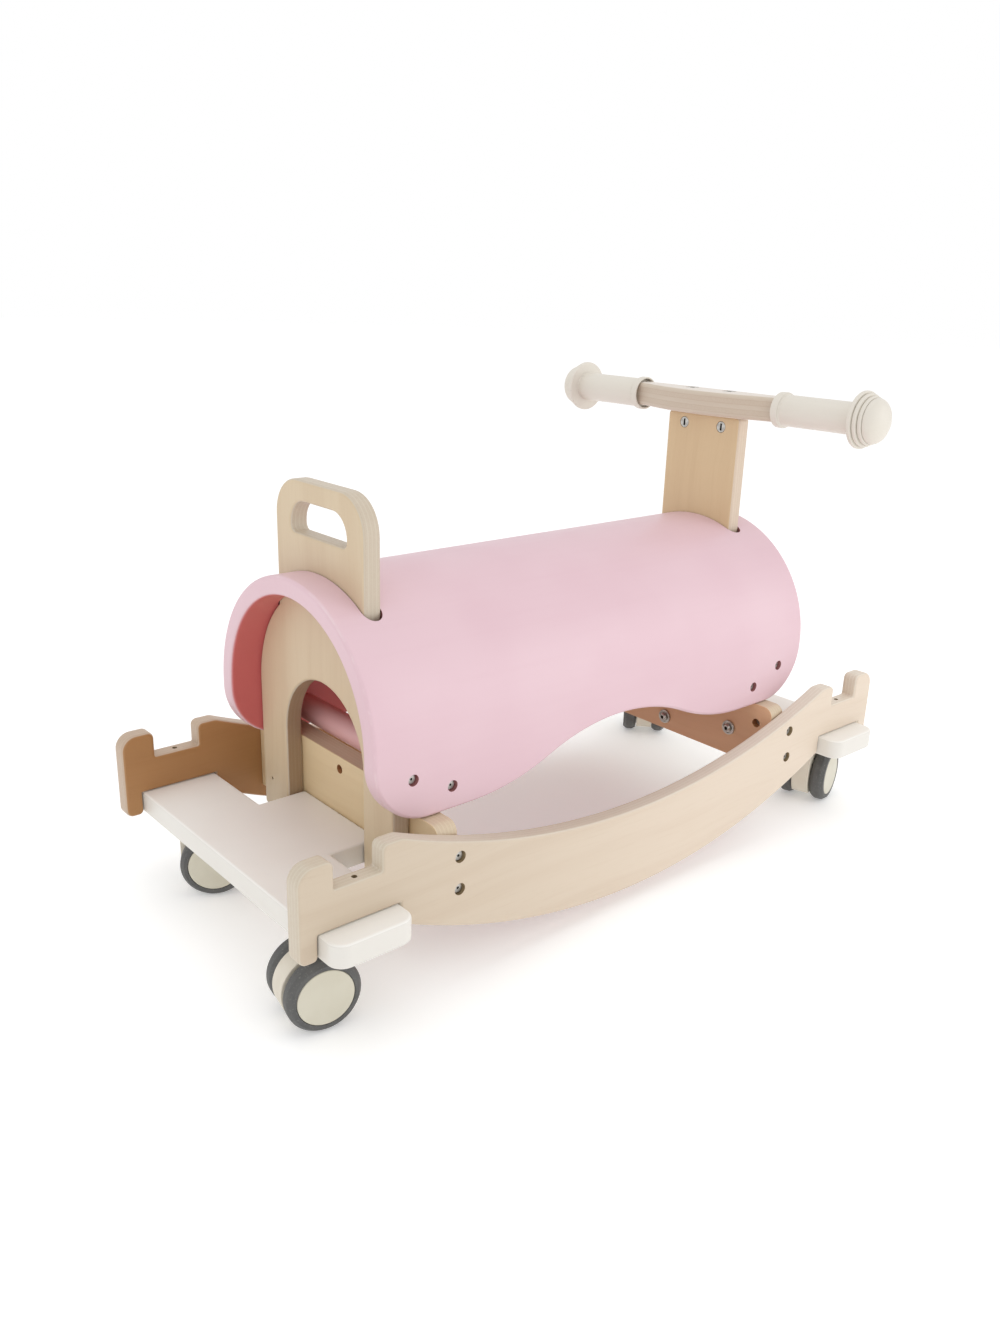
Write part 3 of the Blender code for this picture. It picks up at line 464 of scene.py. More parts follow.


# Painted reflection: the rods' pink is redder than the shell's, for red light bounced inside the shell.
rod_pink_reddened = paint("rod_pink_reddened", (0.800, 0.470, 0.470), (0.770, 0.430, 0.425), (0.36, 0.47), 520.0)
for end in ends:
    low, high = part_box(f"spreader_rod_{end}")
    radius = (high.z - low.z) / 2
    half = high.y
    profile = [(0, -half, 0), (radius, -half, rod_ease), (radius, half, rod_ease), (0, half, 0)]
    spot = facing((0, 1, 0), (low + high) / 2)
    rod = made(f"spreader_rod_{end}_pink", turned(rounded(profile, 30, closed=False)), spot)
    finished(rod, rod_pink_reddened, f"spreader_rod_{end}")

# The backrest panel and the handlebar post: flat birch ply with an arch between two legs, each pushed up
# through its slot. Edges are routed and sanded so that the layers show, then clear satin lacquer.
panel_thickness = 0.015
panel_layers = 9
edge_round = 0.0025
leg_width = 0.0392
arch_spring = 0.1455
arch_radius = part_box("backrest_panel")[1].y - leg_width
foot_corner = 0.004
bolt_bore = 0.0033
leg_bolt_y, leg_bolt_z = 0.0798, 0.092
leg_bore_depth = 0.013
pilot_radius = 0.0014
through = 0.02
backrest_half, backrest_corner = 0.059, 0.029
handle_half = 0.037
handle_low, handle_high = 0.311, 0.335
handle_low_corner, handle_high_corner = 0.005, 0.018
post_half = 0.0425
barrel_nut_bore = 0.0053
bar_nut_y, bar_nut_z = 0.022, 0.370
bar_bolt_mouth_z, bar_bolt_bore_depth = 0.380, 0.017
face_veneer = 0.0009
# Painted shade laid on a rail's face towards its rear end.
rear_shade_tone = (0.83, 0.82, 0.775)


def deeper(tone, brown):
    """A wood tone that turns darker and browner by a share, as denser or older wood does."""
    return tuple(c * (1.0 - brown * share) for c, share in zip(tone, (0.55, 0.80, 1.0)))


def birch(name, thickness, layers, grain, tone, edge_tone, back_tone=None, shift=0.0, shade_span=None):
    """Lacquered birch ply, its own Z through the layers and its face grain along X or Y. The face at low Z
    takes back_tone if there is one. shade_span is the stretch of X where painted shade fades from low X."""
    material, tree, shader, place = blank_finish(name)
    along = add(tree, "SeparateXYZ", {"Vector": place}).outputs["X"]
    place = add(tree, "Mapping", {"Vector": place, "Location": (shift, shift * 1.7, 0.0)}).outputs["Vector"]
    depth = add(tree, "SeparateXYZ", {"Vector": place}).outputs["Z"]
    count = maths(tree, "ADD", maths(tree, "DIVIDE", depth, thickness / layers), layers / 2)
    count = maths(tree, "MINIMUM", maths(tree, "MAXIMUM", count, 0.01), layers - 0.01)
    crossed = maths(tree, "MODULO", maths(tree, "FLOOR", count), 2.0)
    to_glue = maths(tree, "PINGPONG", count, 0.5)
    skin = thickness / 2 - face_veneer
    inside = between(tree, maths(tree, "ABSOLUTE", depth), skin, skin + 0.0005, 1.0, 0.0)
    glue = maths(tree, "MULTIPLY", between(tree, to_glue, 0.03, 0.12, 1.0, 0.0), inside)
    stretch = (1.0, 0.045, 1.0) if grain == "Y" else (0.045, 1.0, 1.0)
    drift = maths(tree, "MULTIPLY", maths(tree, "SUBTRACT", mottle(tree, place, 7.0, 1.0, 0.4), 0.5), 0.02)
    sideways = add(tree, "CombineXYZ", {"X" if grain == "Y" else "Y": drift}).outputs["Vector"]
    waved = add(tree, "VectorMath", {0: place, 1: sideways}, operation="ADD").outputs["Vector"]
    figure = between(tree, mottle(tree, waved, 46.0, 3.0, 0.5, stretch), 0.38, 0.66)
    fibre = mottle(tree, waved, 420.0, 5.0, 0.65, stretch)
    pores = mottle(tree, waved, 1500.0, 2.0, 0.5, stretch)
    fine = between(tree, fibre, 0.50, 0.74, 0.0, 0.16)
    dark = between(tree, pores, 0.62, 0.78, 0.0, 0.12)

    def veneer(colour):
        """The face in one tone: soft figure, fine fibres and small dark pores."""
        sheet = blended(tree, figure, colour, deeper(colour, 0.08))
        sheet = blended(tree, fine, sheet, deeper(colour, 0.30))
        return blended(tree, dark, sheet, deeper(colour, 0.55))

    face = veneer(tone)
    if back_tone:
        face = blended(tree, maths(tree, "LESS_THAN", depth, -skin), face, veneer(back_tone))
    speckle = between(tree, mottle(tree, place, 900.0, 3.0, 0.7), 0.35, 0.65)
    streak = between(tree, mottle(tree, waved, 260.0, 4.0, 0.6, stretch), 0.40, 0.68, 0.0, 0.5)
    long_layer = blended(tree, streak, edge_tone, deeper(edge_tone, 0.10))
    cross_layer = blended(tree, speckle, deeper(edge_tone, 0.13), deeper(edge_tone, 0.05))
    layered = blended(tree, crossed, long_layer, cross_layer)
    layered = blended(tree, maths(tree, "MULTIPLY", glue, 0.25), layered, deeper(edge_tone, 0.50))
    wood = blended(tree, inside, face, layered)
    # Painted shade: the wood darkens towards the low end of shade_span.
    if shade_span:
        wood = blended(tree, between(tree, along, *shade_span, 1.0, 0.0), wood, rear_shade_tone, "MULTIPLY")
    gloss = between(tree, fibre, 0.3, 0.75, 0.38, 0.52)
    fill(tree, shader, {"Base Color": wood, "Roughness": gloss, "Coat Weight": 0.10, "Coat Roughness": 0.28})
    relief = maths(tree, "ADD", maths(tree, "MULTIPLY", fibre, 0.6), maths(tree, "MULTIPLY", pores, 0.25))
    relief = maths(tree, "SUBTRACT", relief, maths(tree, "MULTIPLY", glue, 0.8))
    raise_surface(tree, shader, relief, 0.00014, 0.5)
    return material


def upright_board(name, right_half, middle_x, thickness):
    """Board across the rocker, mirrored from its right half's (y, z, radius) corners. Its own X runs across,
    Y up and Z through the ply. A corner on the middle line is used once."""
    left_half = [(-y, z, radius) for y, z, radius in reversed(right_half) if y > hair]
    across = Matrix(((0, 0, 1, middle_x), (1, 0, 0, 0), (0, 1, 0, 0), (0, 0, 0, 1)))
    return made(name, prism(rounded(right_half + left_half), -thickness / 2, thickness / 2), across)


def panel(node, upper_half, top_corner, opening=None):
    """Panel with two legs, its round shoulders under the shell and its upper part."""
    low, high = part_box(node)
    middle_x = middle_of(node).x
    outward = math.copysign(1.0, middle_x)
    half = arc((0.0, arch_spring), arch_radius, 90, 0, 3.0)
    half += [(arch_radius, low.z, foot_corner), (high.y, low.z, foot_corner)]
    half += arc((0.0, shell_axis), high.y, 0, math.degrees(math.acos(upper_half / high.y)))
    half += [(upper_half, high.z, top_corner)]
    thing = upright_board(node + "_birch", half, middle_x, panel_thickness)
    if opening:
        cut(thing, opening)
    ease_edges(thing, edge_round)
    for side in hands.values():
        for face, radius, depth in ((-outward, bolt_bore, leg_bore_depth), (outward, pilot_radius, through)):
            spot = (side * leg_bolt_y, leg_bolt_z, face * panel_thickness / 2)
            drill(thing, radius, depth, (0, 0, face), spot)
    return thing


def on_arch(spot, normal):
    """Whether a face of a panel lies on the routed edge of its arch or in a bolt's pilot bore."""
    from_spring = math.hypot(spot.x, max(spot.y - arch_spring, 0.0))
    arch_edge = from_spring < arch_radius + 4 * hair and abs(normal.z) < 0.8
    pilot = math.hypot(abs(spot.x) - leg_bolt_y, spot.y - leg_bolt_z) < pilot_radius + hair
    return arch_edge or (pilot and abs(spot.z) < panel_thickness / 2 - hair)


def panel_birch(name, tone, edge_tone, shift):
    """The panels' ply, its face grain upright."""
    return birch(name, panel_thickness, panel_layers, "Y", tone, edge_tone, shift=shift)


handle = [(handle_half, handle_low, handle_low_corner), (handle_half, handle_high, handle_high_corner)]
handle += [(-y, z, radius) for y, z, radius in reversed(handle)]
backrest = panel("backrest_panel", backrest_half, backrest_corner, prism(rounded(handle), -through, through))
backrest_finish = panel_birch("backrest_birch", (0.665, 0.535, 0.365), (0.61, 0.53, 0.42), 0.3)
finished(backrest, backrest_finish, "backrest_panel")
# Painted shade: the arch's routed edges and the pilot bores take a darker brown edge tone.
arch_shaded_finish = panel_birch("arch_birch_shaded", (0.665, 0.535, 0.365), (0.40, 0.29, 0.185), 0.3)
shade_faces(backrest, arch_shaded_finish, on_arch)

post = panel("handlebar_post", post_half, foot_corner)
for side in hands.values():
    y = side * bar_nut_y
    drill(post, barrel_nut_bore, through, (0, 0, 1), (y, bar_nut_z, panel_thickness / 2))
    drill(post, bolt_bore, bar_bolt_bore_depth, (0, 1, 0), (y, bar_bolt_mouth_z, 0.0))
post_finish = panel_birch("post_birch", (0.665, 0.495, 0.295), (0.68, 0.56, 0.44), 1.1)
finished(post, post_finish, "handlebar_post")
shade_faces(post, arch_shaded_finish, on_arch)

# The cross boards: birch ply on edge between the rails, notched for the shell's walls and bored for the
# barrel nuts. Each is bolted to its panel's legs and to the castor board's tongue.
cross_round = 0.0008
cross_corner = 0.009
cross_top_corner = 0.003
cross_layers = 11
cross_hole = 0.00375
cross_hole_z = 0.125
# The front board's tone is deeper and browner than the rear's: painted shade, as it stands under the shell.
cross_tone_front_shaded = {"rear": (0.75, 0.59, 0.365), "front": (0.74, 0.455, 0.27)}
shoulder_slack = 0.0006
rail_nut_y, rail_nut_z = 0.110, 0.106
rail_nut_hole, rail_nut_hole_depth = 0.0042, 0.014
# Painted shade: the barrel nut bores and the middle bore are laid dark brown over raw wood.
nut_bore = shaded_hollow("nut_bore", (0.50, 0.24, 0.10), (0.40, 0.18, 0.075))


def cross_board(end, outward):
    """One cross board, raised between the shell's walls, its barrel nuts let in from the inner face."""
    node = f"cross_board_{end}"
    low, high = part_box(node)
    thickness = high.x - low.x
    raised_half = shell_radius - shell_wall - shoulder_slack
    shoulder = shell_low.z - shoulder_slack
    half = [(high.y, low.z, 0.0), (high.y, shoulder, cross_corner)]
    half += [(raised_half, shoulder, 0.0), (raised_half, high.z, cross_top_corner)]
    board = upright_board(node + "_birch", half, middle_of(node).x, thickness)
    ease_edges(board, cross_round, 2)
    drill(board, cross_hole, through, (0, 0, 1), (0.0, cross_hole_z, thickness / 2))
    for side in hands.values():
        spot = (side * rail_nut_y, rail_nut_z, -outward * thickness / 2)
        drill(board, rail_nut_hole, rail_nut_hole_depth, (0, 0, -outward), spot)
    edge_tone, shift = (0.70, 0.58, 0.42), 0.2 * outward
    finish = birch(node + "_birch", thickness, cross_layers, "X", cross_tone_front_shaded[end], edge_tone, shift=shift)
    finished(board, finish, node)

    def in_bore(spot, normal):
        """Whether a face lies in the middle bore or in one for a barrel nut."""
        middle = math.hypot(spot.x, spot.y - cross_hole_z) < cross_hole + hair
        nut = math.hypot(abs(spot.x) - rail_nut_y, spot.y - rail_nut_z) < rail_nut_hole + hair
        return (middle or nut) and abs(spot.z) < thickness / 2 - 2 * hair

    shade_faces(board, nut_bore, in_bore)


for end, outward in ends.items():
    cross_board(end, outward)

# The rails: two rockers of birch ply on edge, cut in one piece with a notched horn at either end, their
# edges routed round. Bolts sit in counterbores on the outer faces, and one in each notch.
rail_thickness = 0.015
rail_inside_y = 0.1265
horn_width = 0.0275
horn_outer_corner, horn_inner_corner = 0.0125, 0.0055
notch_width = 0.038
notch_floor = 0.1165
notch_corner = 0.0012
notch_hole, notch_hole_depth = 0.0021, 0.012
notch_bolt_x = 0.280
crest_z = 0.136
crest_flat = 0.017
crest_outer_corner, crest_inner_corner = 0.005, 0.012
dip_z = 0.0874
heel_z = 0.0709
foot_z = 0.068
foot_width = 0.0145
foot_inner_corner, foot_outer_corner = 0.004, 0.006
seat_roof = 0.0873
board_inner_x = 0.2475
board_slack = 0.0003
rail_bolt_x = 0.1955
rail_bolt_heights = {"upper": 0.106, "lower": 0.080}
rail_bolt_bore = 0.0047
rail_bolt_depth = 0.0038
# Painted shade: the rails' inner faces are laid a dark brown.
rail_tone, rail_inner_shade_tone = (0.738, 0.622, 0.502), (0.41, 0.205, 0.075)
# Painted shade: the left rail's edges are laid darker than the right rail's.
rail_edge_tone_left_shaded = {"right": (0.78, 0.70, 0.595), "left": (0.55, 0.42, 0.31)}
# Painted shade: the right rail's face darkens towards its rear end.
rail_shade_span = {"right": (-0.34, 0.14), "left": None}
# Painted shade: the rails' bolt counterbores and notch bores are laid dark over raw wood.
wood_bore_shade = shaded_hollow("wood_bore_shade", (0.37, 0.28, 0.165), (0.27, 0.195, 0.11))


def shallow_arc(half_chord, middle, end):
    """Long arc from -half_chord to half_chord that rises from middle to end."""
    rise = end - middle
    radius = (half_chord**2 + rise**2) / (2 * rise)
    swing = math.degrees(math.asin(half_chord / radius))
    return arc((0.0, middle + radius), radius, 270 - swing, 270 + swing, 0.75)


def rail(hand, side):
    """One rail, its own X along the rocker, Y up and Z through the ply."""
    node = f"rail_{hand}"
    low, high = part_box(node)
    horn_x = high.x - horn_width
    notch_x = horn_x - notch_width
    crest_x = notch_x - crest_flat
    end = [
        (board_inner_x - board_slack, seat_roof, 0.0),
        (high.x - foot_width, seat_roof, 0.0),
        (high.x - foot_width, foot_z, foot_inner_corner),
        (high.x, foot_z, foot_outer_corner),
        (high.x, high.z, horn_outer_corner),
        (horn_x, high.z, horn_inner_corner),
        (horn_x, notch_floor, notch_corner),
        (notch_x, notch_floor, notch_corner),
        (notch_x, crest_z, crest_outer_corner),
        (crest_x, crest_z, crest_inner_corner),
    ]
    lower = shallow_arc(board_inner_x - board_slack, low.z, heel_z)
    upper = shallow_arc(crest_x, dip_z, crest_z)[1:-1]
    far_end = [(-x, z, radius) for x, z, radius in reversed(end)]
    outline = rounded(lower + end + upper[::-1] + far_end)
    middle_y = middle_of(node).y
    upright = Matrix(((-side, 0, 0, 0), (0, 0, side, middle_y), (0, 1, 0, 0), (0, 0, 0, 1)))
    thing = made(node + "_birch", prism(outline, -rail_thickness / 2, rail_thickness / 2), upright)
    ease_edges(thing, edge_round)
    for outward in ends.values():
        for z in rail_bolt_heights.values():
            spot = (outward * rail_bolt_x, z, rail_thickness / 2)
            drill(thing, rail_bolt_bore, rail_bolt_depth, (0, 0, 1), spot)
    for outward in ends.values():
        drill(thing, notch_hole, notch_hole_depth, (0, 1, 0), (outward * notch_bolt_x, notch_floor, 0.0))
    tones = (rail_tone, rail_edge_tone_left_shaded[hand], rail_inner_shade_tone)
    finish = birch(node + "_birch", rail_thickness, panel_layers, "X", *tones, 0.5 * side, rail_shade_span[hand])
    finished(thing, finish, node)

    def in_bore(spot, normal):
        """Whether a face lies in one of the four bolt bores or the two notch bores."""
        sunk = rail_thickness / 2 - spot.z
        heights = rail_bolt_heights.values()
        if min(math.hypot(abs(spot.x) - rail_bolt_x, spot.y - z) for z in heights) < rail_bolt_bore + hair:
            return 2 * hair < sunk < rail_bolt_depth + hair
        in_notch = math.hypot(abs(spot.x) - notch_bolt_x, spot.z) < notch_hole + hair
        return in_notch and 2 * hair < notch_floor - spot.y < notch_hole_depth + 10 * hair

    shade_faces(thing, wood_bore_shade, in_bore)


for hand, side in hands.items():
    rail(hand, side)

# The castor boards: thick board slotted under the rails' ends, with a tongue between the panel's legs,
# corners rounded, primed, sanded and painted warm white.
deck_corner = 0.012
deck_round = 0.0022
deck_edge_slope = 0.6
tongue_half = 0.053
tongue_corner = 0.004
white = paint("board_white", (0.900, 0.878, 0.835), (0.885, 0.858, 0.812))
# Painted shade: the boards' sides take a duller, darker white than their tops.
white_side_shade = paint("board_white_side_shade", (0.790, 0.765, 0.715), (0.770, 0.742, 0.690))
for end, outward in ends.items():
    node = f"castor_board_{end}"
    low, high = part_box(node)
    tip, outer = sorted((abs(low.x), abs(high.x)))
    half = [(board_inner_x, high.y, deck_corner), (board_inner_x, tongue_half, 0.0)]
    half += [(tip, tongue_half, tongue_corner)]
    outline = half + [(x, -y, radius) for x, y, radius in reversed(half)]
    outline += [(outer, -high.y, deck_corner), (outer, high.y, deck_corner)]
    turn = Matrix.Translation((0, 0, low.z)) @ Matrix.Rotation(0.0 if outward > 0 else math.pi, 4, "Z")
    deck = made(node + "_white", prism(rounded(outline), 0.0, high.z - low.z), turn)
    ease_edges(deck, deck_round, 5)
    finished(deck, white, node)
    shade_faces(deck, white_side_shade, lambda spot, normal: abs(normal.z) < deck_edge_slope)

# The handlebar: thick birch ply bowed towards the rider, edges rounded over, with turned tenons inside
# the grips. Two bolts go down through it into barrel nuts in the post.
bar_rear_at_bow_end = 0.0123
bow_half = 0.066
bar_end_half = 0.010
bar_end = 0.084
bar_end_straight = 0.009
bar_round = 0.0045
bar_layers = 5
bar_bolt_head_bore, bar_bolt_sink = 0.0065, 0.0034
tenon_radius = 0.0095
tenon_start = 0.06
tenon_ease = 0.001
bar_low, bar_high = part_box("handlebar")
post_x = middle_of("handlebar_post").x
bar_thick = bar_high.z - bar_low.z
bar_middle = Vector((post_x, 0.0, middle_of("handlebar").z))


def bar_body():
    """The bar's outline seen from above, thick along Z, with its long edges rounded."""
    rear = post_x - bar_low.x
    front = bar_high.x - post_x
    sagitta = rear - bar_rear_at_bow_end
    radius = (bow_half**2 + sagitta**2) / (2 * sagitta)
    swing = math.degrees(math.asin(bow_half / radius))
    bow = arc((radius - rear, 0.0), radius, 180 - swing, 180 + swing)
    shoulder = bar_end - bar_end_straight
    right_end = [(-bar_end_half, -shoulder, 0.0), (-bar_end_half, -bar_end, 0.0)]
    right_end += [(bar_end_half, -bar_end, 0.0), (bar_end_half, -shoulder, 0.0), (front, -bow_half, 0.0)]
    left_end = [(x, -y, r) for x, y, r in reversed(right_end)]
    mesh = prism(rounded(bow + right_end + left_end), -bar_thick / 2, bar_thick / 2)
    weight = mesh.edges.layers.float.new("bevel_weight_edge")
    for edge in mesh.edges:
        first, last = edge.verts[0].co, edge.verts[1].co
        level_edge = abs(first.z - last.z) < hair
        at_end = abs(abs(first.y) - bar_end) < hair and abs(abs(last.y) - bar_end) < hair
        edge[weight] = 1.0 if level_edge and not at_end else 0.0
    thing = made("handlebar_birch", mesh, Matrix.Translation(bar_middle))
    ease_edges(thing, bar_round, 6, weighted=True)
    return thing


bar = bar_body()
for side in hands.values():
    tenon = [(0, tenon_start), (tenon_radius, tenon_start), (tenon_radius, bar_high.y - tenon_ease)]
    tenon += [(tenon_radius - tenon_ease, bar_high.y), (0, bar_high.y)]
    cut(bar, turned(tenon), facing((0, side, 0)), "UNION")
    drill(bar, bar_bolt_head_bore, bar_bolt_sink, (0, 0, 1), (0.0, side * bar_nut_y, bar_thick / 2))
bar_finish = birch("bar_birch", bar_thick, bar_layers, "Y", (0.78, 0.71, 0.64), (0.60, 0.51, 0.41), shift=2.3)
finished(bar, bar_finish, "handlebar")

# The grips: turned wood painted cream, with a collar over the bar's square end, a plain barrel, three
# rings that step down and a flattened knob. Each is glued on its tenon.
grip_mouth_radius = 0.014
grip_mouth_depth = 0.006
grip_mouth_ease = 0.0008
grip_collar_radius = 0.0157
grip_collar_width = 0.0075
grip_collar_ease = 0.0016
grip_barrel_radius = 0.0137
grip_barrel_ease = 0.0012
grip_rings = (0.0241, 0.0222, 0.0203)
grip_ring_width = 0.004
grip_ring_start = 0.1625
grip_groove, grip_groove_depth = 0.0003, 0.0032
grip_knob_radius = 0.019
grip_knob_solid = 0.016
grip_dome = 0.010
grip_ease = 0.0011
glue_gap = 0.0003


def grip_profile(start, end):
    """Half section from the end of the bore to the mouth and along the outside to the knob's tip."""
    bore = tenon_radius + glue_gap
    bore_end = end - grip_knob_solid
    collar_end = start + grip_collar_width
    corners = [
        (0.0, bore_end, 0.0),
        (bore, bore_end, 0.0),
        (bore, start + grip_mouth_depth, 0.0),
        (grip_mouth_radius, start + grip_mouth_depth, 0.0),
        (grip_mouth_radius, start, grip_mouth_ease),
        (grip_collar_radius, start, grip_ease),
        (grip_collar_radius, collar_end, grip_collar_ease),
        (grip_barrel_radius, collar_end, grip_barrel_ease),
        (grip_barrel_radius, grip_ring_start, 0.0007),
    ]
    place = grip_ring_start
    for radius in grip_rings:
        ring_end = place + grip_ring_width - grip_groove
        corners += [(radius, place, grip_ease), (radius, ring_end, grip_ease)]
        place += grip_ring_width
        groove = radius - grip_groove_depth
        corners += [(groove, ring_end, 0.0), (groove, place, 0.0)]
    corners.append((grip_knob_radius, place, 0.0004))
    for angle in range(0, 90, 6):
        lean = math.radians(angle)
        height = end - grip_dome * (1 - math.sin(lean))
        corners.append((grip_knob_radius * math.cos(lean), height, 0.0))
    corners.append((0.0, end, 0.0))
    return rounded(corners, 22.5, closed=False)


cream = paint("grip_cream", (0.740, 0.697, 0.622), (0.715, 0.668, 0.588), (0.34, 0.44), 600.0)
for hand in ("left", "right"):
    low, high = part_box(f"grip_{hand}")
    start, end = sorted((abs(low.y), abs(high.y)))
    spot = facing((0, hands[hand], 0), bar_middle)
    grip = made(f"grip_{hand}_cream", turned(grip_profile(start, end), 96), spot)
    finished(grip, cream, f"grip_{hand}")

# The castors: a steel plate with a kingpin, a moulded cream housing that swivels on it, a steel axle, and
# two wheels, each a cream hub pressed into a soft grey tyre.
wheel_radius = 0.0275
wheel_spacing = 0.033
trail = 0.0165
tyre_width = 0.014
tyre_shoulder = 0.0038
tyre_inner_taper, tyre_outer_taper = 0.0026, 0.0030
hub_radius = 0.021
hub_rim = 0.004
hub_bulge = 0.0004
hub_bore_end = 0.0043
hood_radius = 0.0272
hood_low = 0.0095
neck_ahead = 0.012
neck_drop = 0.0026
housing_width = 0.017
housing_round = 0.0008
boss_radius = 0.014
boss_height = 0.0052
kingpin_bore = 0.0043
axle_bore = 0.0033
running_play = 0.0003


def rubber():
    """Soft dark grey rubber, dusty and a little scuffed on the tread."""
    material, tree, shader, place = blank_finish("tyre_rubber")
    cloud = between(tree, mottle(tree, place, 70.0, 4.0, 0.6), 0.35, 0.68)
    base = blended(tree, cloud, (0.082, 0.082, 0.080), (0.113, 0.112, 0.108))
    speck = between(tree, mottle(tree, place, 700.0, 2.0), 0.60, 0.72, 0.0, 0.5)
    dusty = blended(tree, speck, base, (0.23, 0.225, 0.21))
    fill(tree, shader, {"Base Color": dusty, "Roughness": between(tree, cloud, 0.0, 1.0, 0.48, 0.64)})
    raise_surface(tree, shader, mottle(tree, place, 900.0), 0.00008, 0.5)
    return material


def moulded(name, light, shade):
    """Moulded plastic: one even tone with faint flow marks and a fine spark-eroded grain."""
    material, tree, shader, place = blank_finish(name)
    flow = between(tree, mottle(tree, place, 55.0, 2.0, 0.4), 0.3, 0.7)
    colour = blended(tree, flow, light, shade)
    fill(tree, shader, {"Base Color": colour, "Roughness": between(tree, flow, 0.0, 1.0, 0.34, 0.42)})
    raise_surface(tree, shader, mottle(tree, place, 2200.0, 1.0), 0.00005, 0.35)
    return material


def zinc():
    """Bright zinc plate: fine brushed streaks, duller in patches."""
    material, tree, shader, place = blank_finish("zinc_plate")
    dull = between(tree, mottle(tree, place, 220.0, 4.0, 0.6), 0.35, 0.7)
    colour = blended(tree, dull, (0.60, 0.59, 0.56), (0.42, 0.41, 0.38))
    satin = between(tree, dull, 0.0, 1.0, 0.38, 0.56)
    fill(tree, shader, {"Base Color": colour, "Roughness": satin, "Metallic": 1.0})
    raise_surface(tree, shader, mottle(tree, place, 1500.0, 2.0, 0.5, (1.0, 1.0, 0.1)), 0.00004, 0.5)
    return material


steel = zinc()
tyre_finish = rubber()
hub_finish = moulded("castor_cream", (0.640, 0.605, 0.495), (0.620, 0.583, 0.472))
housing_finish = moulded("housing_cream", (0.735, 0.680, 0.575), (0.700, 0.640, 0.530))


def tyre_section():
    """Closed half section: tread with soft shoulders and a flat side wall."""
    face = tyre_width / 2
    bore = hub_radius + running_play
    corners = [
        (bore, -face, 0.0004),
        (wheel_radius - tyre_inner_taper, -face, 0.0012),
        (wheel_radius, tyre_shoulder - face, 0.003),
        (wheel_radius, face - tyre_shoulder, 0.003),
        (wheel_radius - tyre_outer_taper, face, 0.0012),
        (bore, face, 0.0004),
    ]
    return rounded(corners, 15.0)


def hub_section():
    """Half section of a hub, from the axle's blind bore over its rim to the middle of its outer face."""
    face = tyre_width / 2
    inner = housing_width / 2 + running_play - wheel_spacing / 2
    corners = [(0.0, hub_bore_end, 0.0), (axle_bore, hub_bore_end, 0.0), (axle_bore, inner, 0.0003)]
    corners += [(hub_radius, inner, 0.0006), (hub_radius, face, 0.0007)]
    corners += [(hub_radius - hub_rim, face + hub_bulge / 2, 0.0), (0.0, face + hub_bulge, 0.0)]
    return rounded(corners, 22.5, closed=False)


def housing(name, matrix, boss_top, kingpin_end):
    """Hood between the wheels, cut level near the floor, that runs up into a neck under the round boss.
    Its own X runs along the castor's trail, Y up and Z along the axle."""
    neck_top = boss_top - neck_drop
    to_corner = Vector((neck_ahead - trail, neck_top - wheel_radius))
    tangent = math.degrees(math.atan2(to_corner.y, to_corner.x) - math.acos(hood_radius / to_corner.length))
    dip = math.degrees(math.asin((wheel_radius - hood_low) / hood_radius))
    outline = [(neck_ahead, neck_top, 0.0), (trail - hood_radius, neck_top, 0.0)]
    outline += arc((trail, wheel_radius), hood_radius, 180, 180 + dip, 4.0)
    outline += arc((trail, wheel_radius), hood_radius, 360 - dip, 360 + tangent, 4.0)
    upright = matrix @ Matrix(((1, 0, 0, 0), (0, 0, -1, 0), (0, 1, 0, 0), (0, 0, 0, 1)))
    thing = made(name, prism(rounded(outline), -housing_width / 2, housing_width / 2), upright)
    ease_edges(thing, housing_round, 3)
    under = boss_top - boss_height
    boss = [(0, under, 0), (boss_radius, under, 0.0004), (boss_radius, boss_top, 0.0012), (0, boss_top, 0)]
    cut(thing, turned(rounded(boss, 22.5, closed=False)), upright.inverted() @ matrix, "UNION")
    drill(thing, kingpin_bore, boss_top - kingpin_end, (0, 1, 0), (0, boss_top, 0))
    drill(thing, axle_bore, through, (0, 0, 1), (trail, wheel_radius, housing_width / 2))
    return thing


headings = {}
for joint in frame["joints"]:
    if joint["name"].startswith("roll_") and joint["name"].endswith("_a"):
        corner = joint["name"].removeprefix("roll_").removesuffix("_a")
        headings[corner] = math.atan2(-joint["axis"][0], joint["axis"][1])

for corner, heading in headings.items():
    castor = f"castor_{corner}"
    stem = middle_of(f"{castor}_plate")
    swivelled = Matrix.Translation((stem.x, stem.y, 0.0)) @ Matrix.Rotation(heading, 4, "Z")
    boss_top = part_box(f"{castor}_housing")[1].z
    kingpin_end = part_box(f"{castor}_plate")[0].z - running_play
    body = housing(f"{castor}_housing_cream", swivelled, boss_top, kingpin_end)
    finished(body, housing_finish, f"{castor}_housing")
    for letter, side in (("a", 1), ("b", -1)):
        seat = swivelled @ facing((0, side, 0), (trail, side * wheel_spacing / 2, wheel_radius))
        hub = made(f"{castor}_hub_{letter}_cream", turned(hub_section()), seat)
        finished(hub, hub_finish, f"{castor}_hub_{letter}")
        tread = turned(tyre_section(), 96, closed=True)
        tread.transform(seat.to_3x3().to_4x4())
        tyre = made(f"{castor}_tyre_{letter}_grey", tread, Matrix.Translation(seat.translation))
        finished(tyre, tyre_finish, f"{castor}_tyre_{letter}")
    for part in ("plate", "axle"):
        metal = frame["nodes"][f"{castor}_{part}"]
        metal.data.materials.clear()
        metal.data.materials.append(steel)

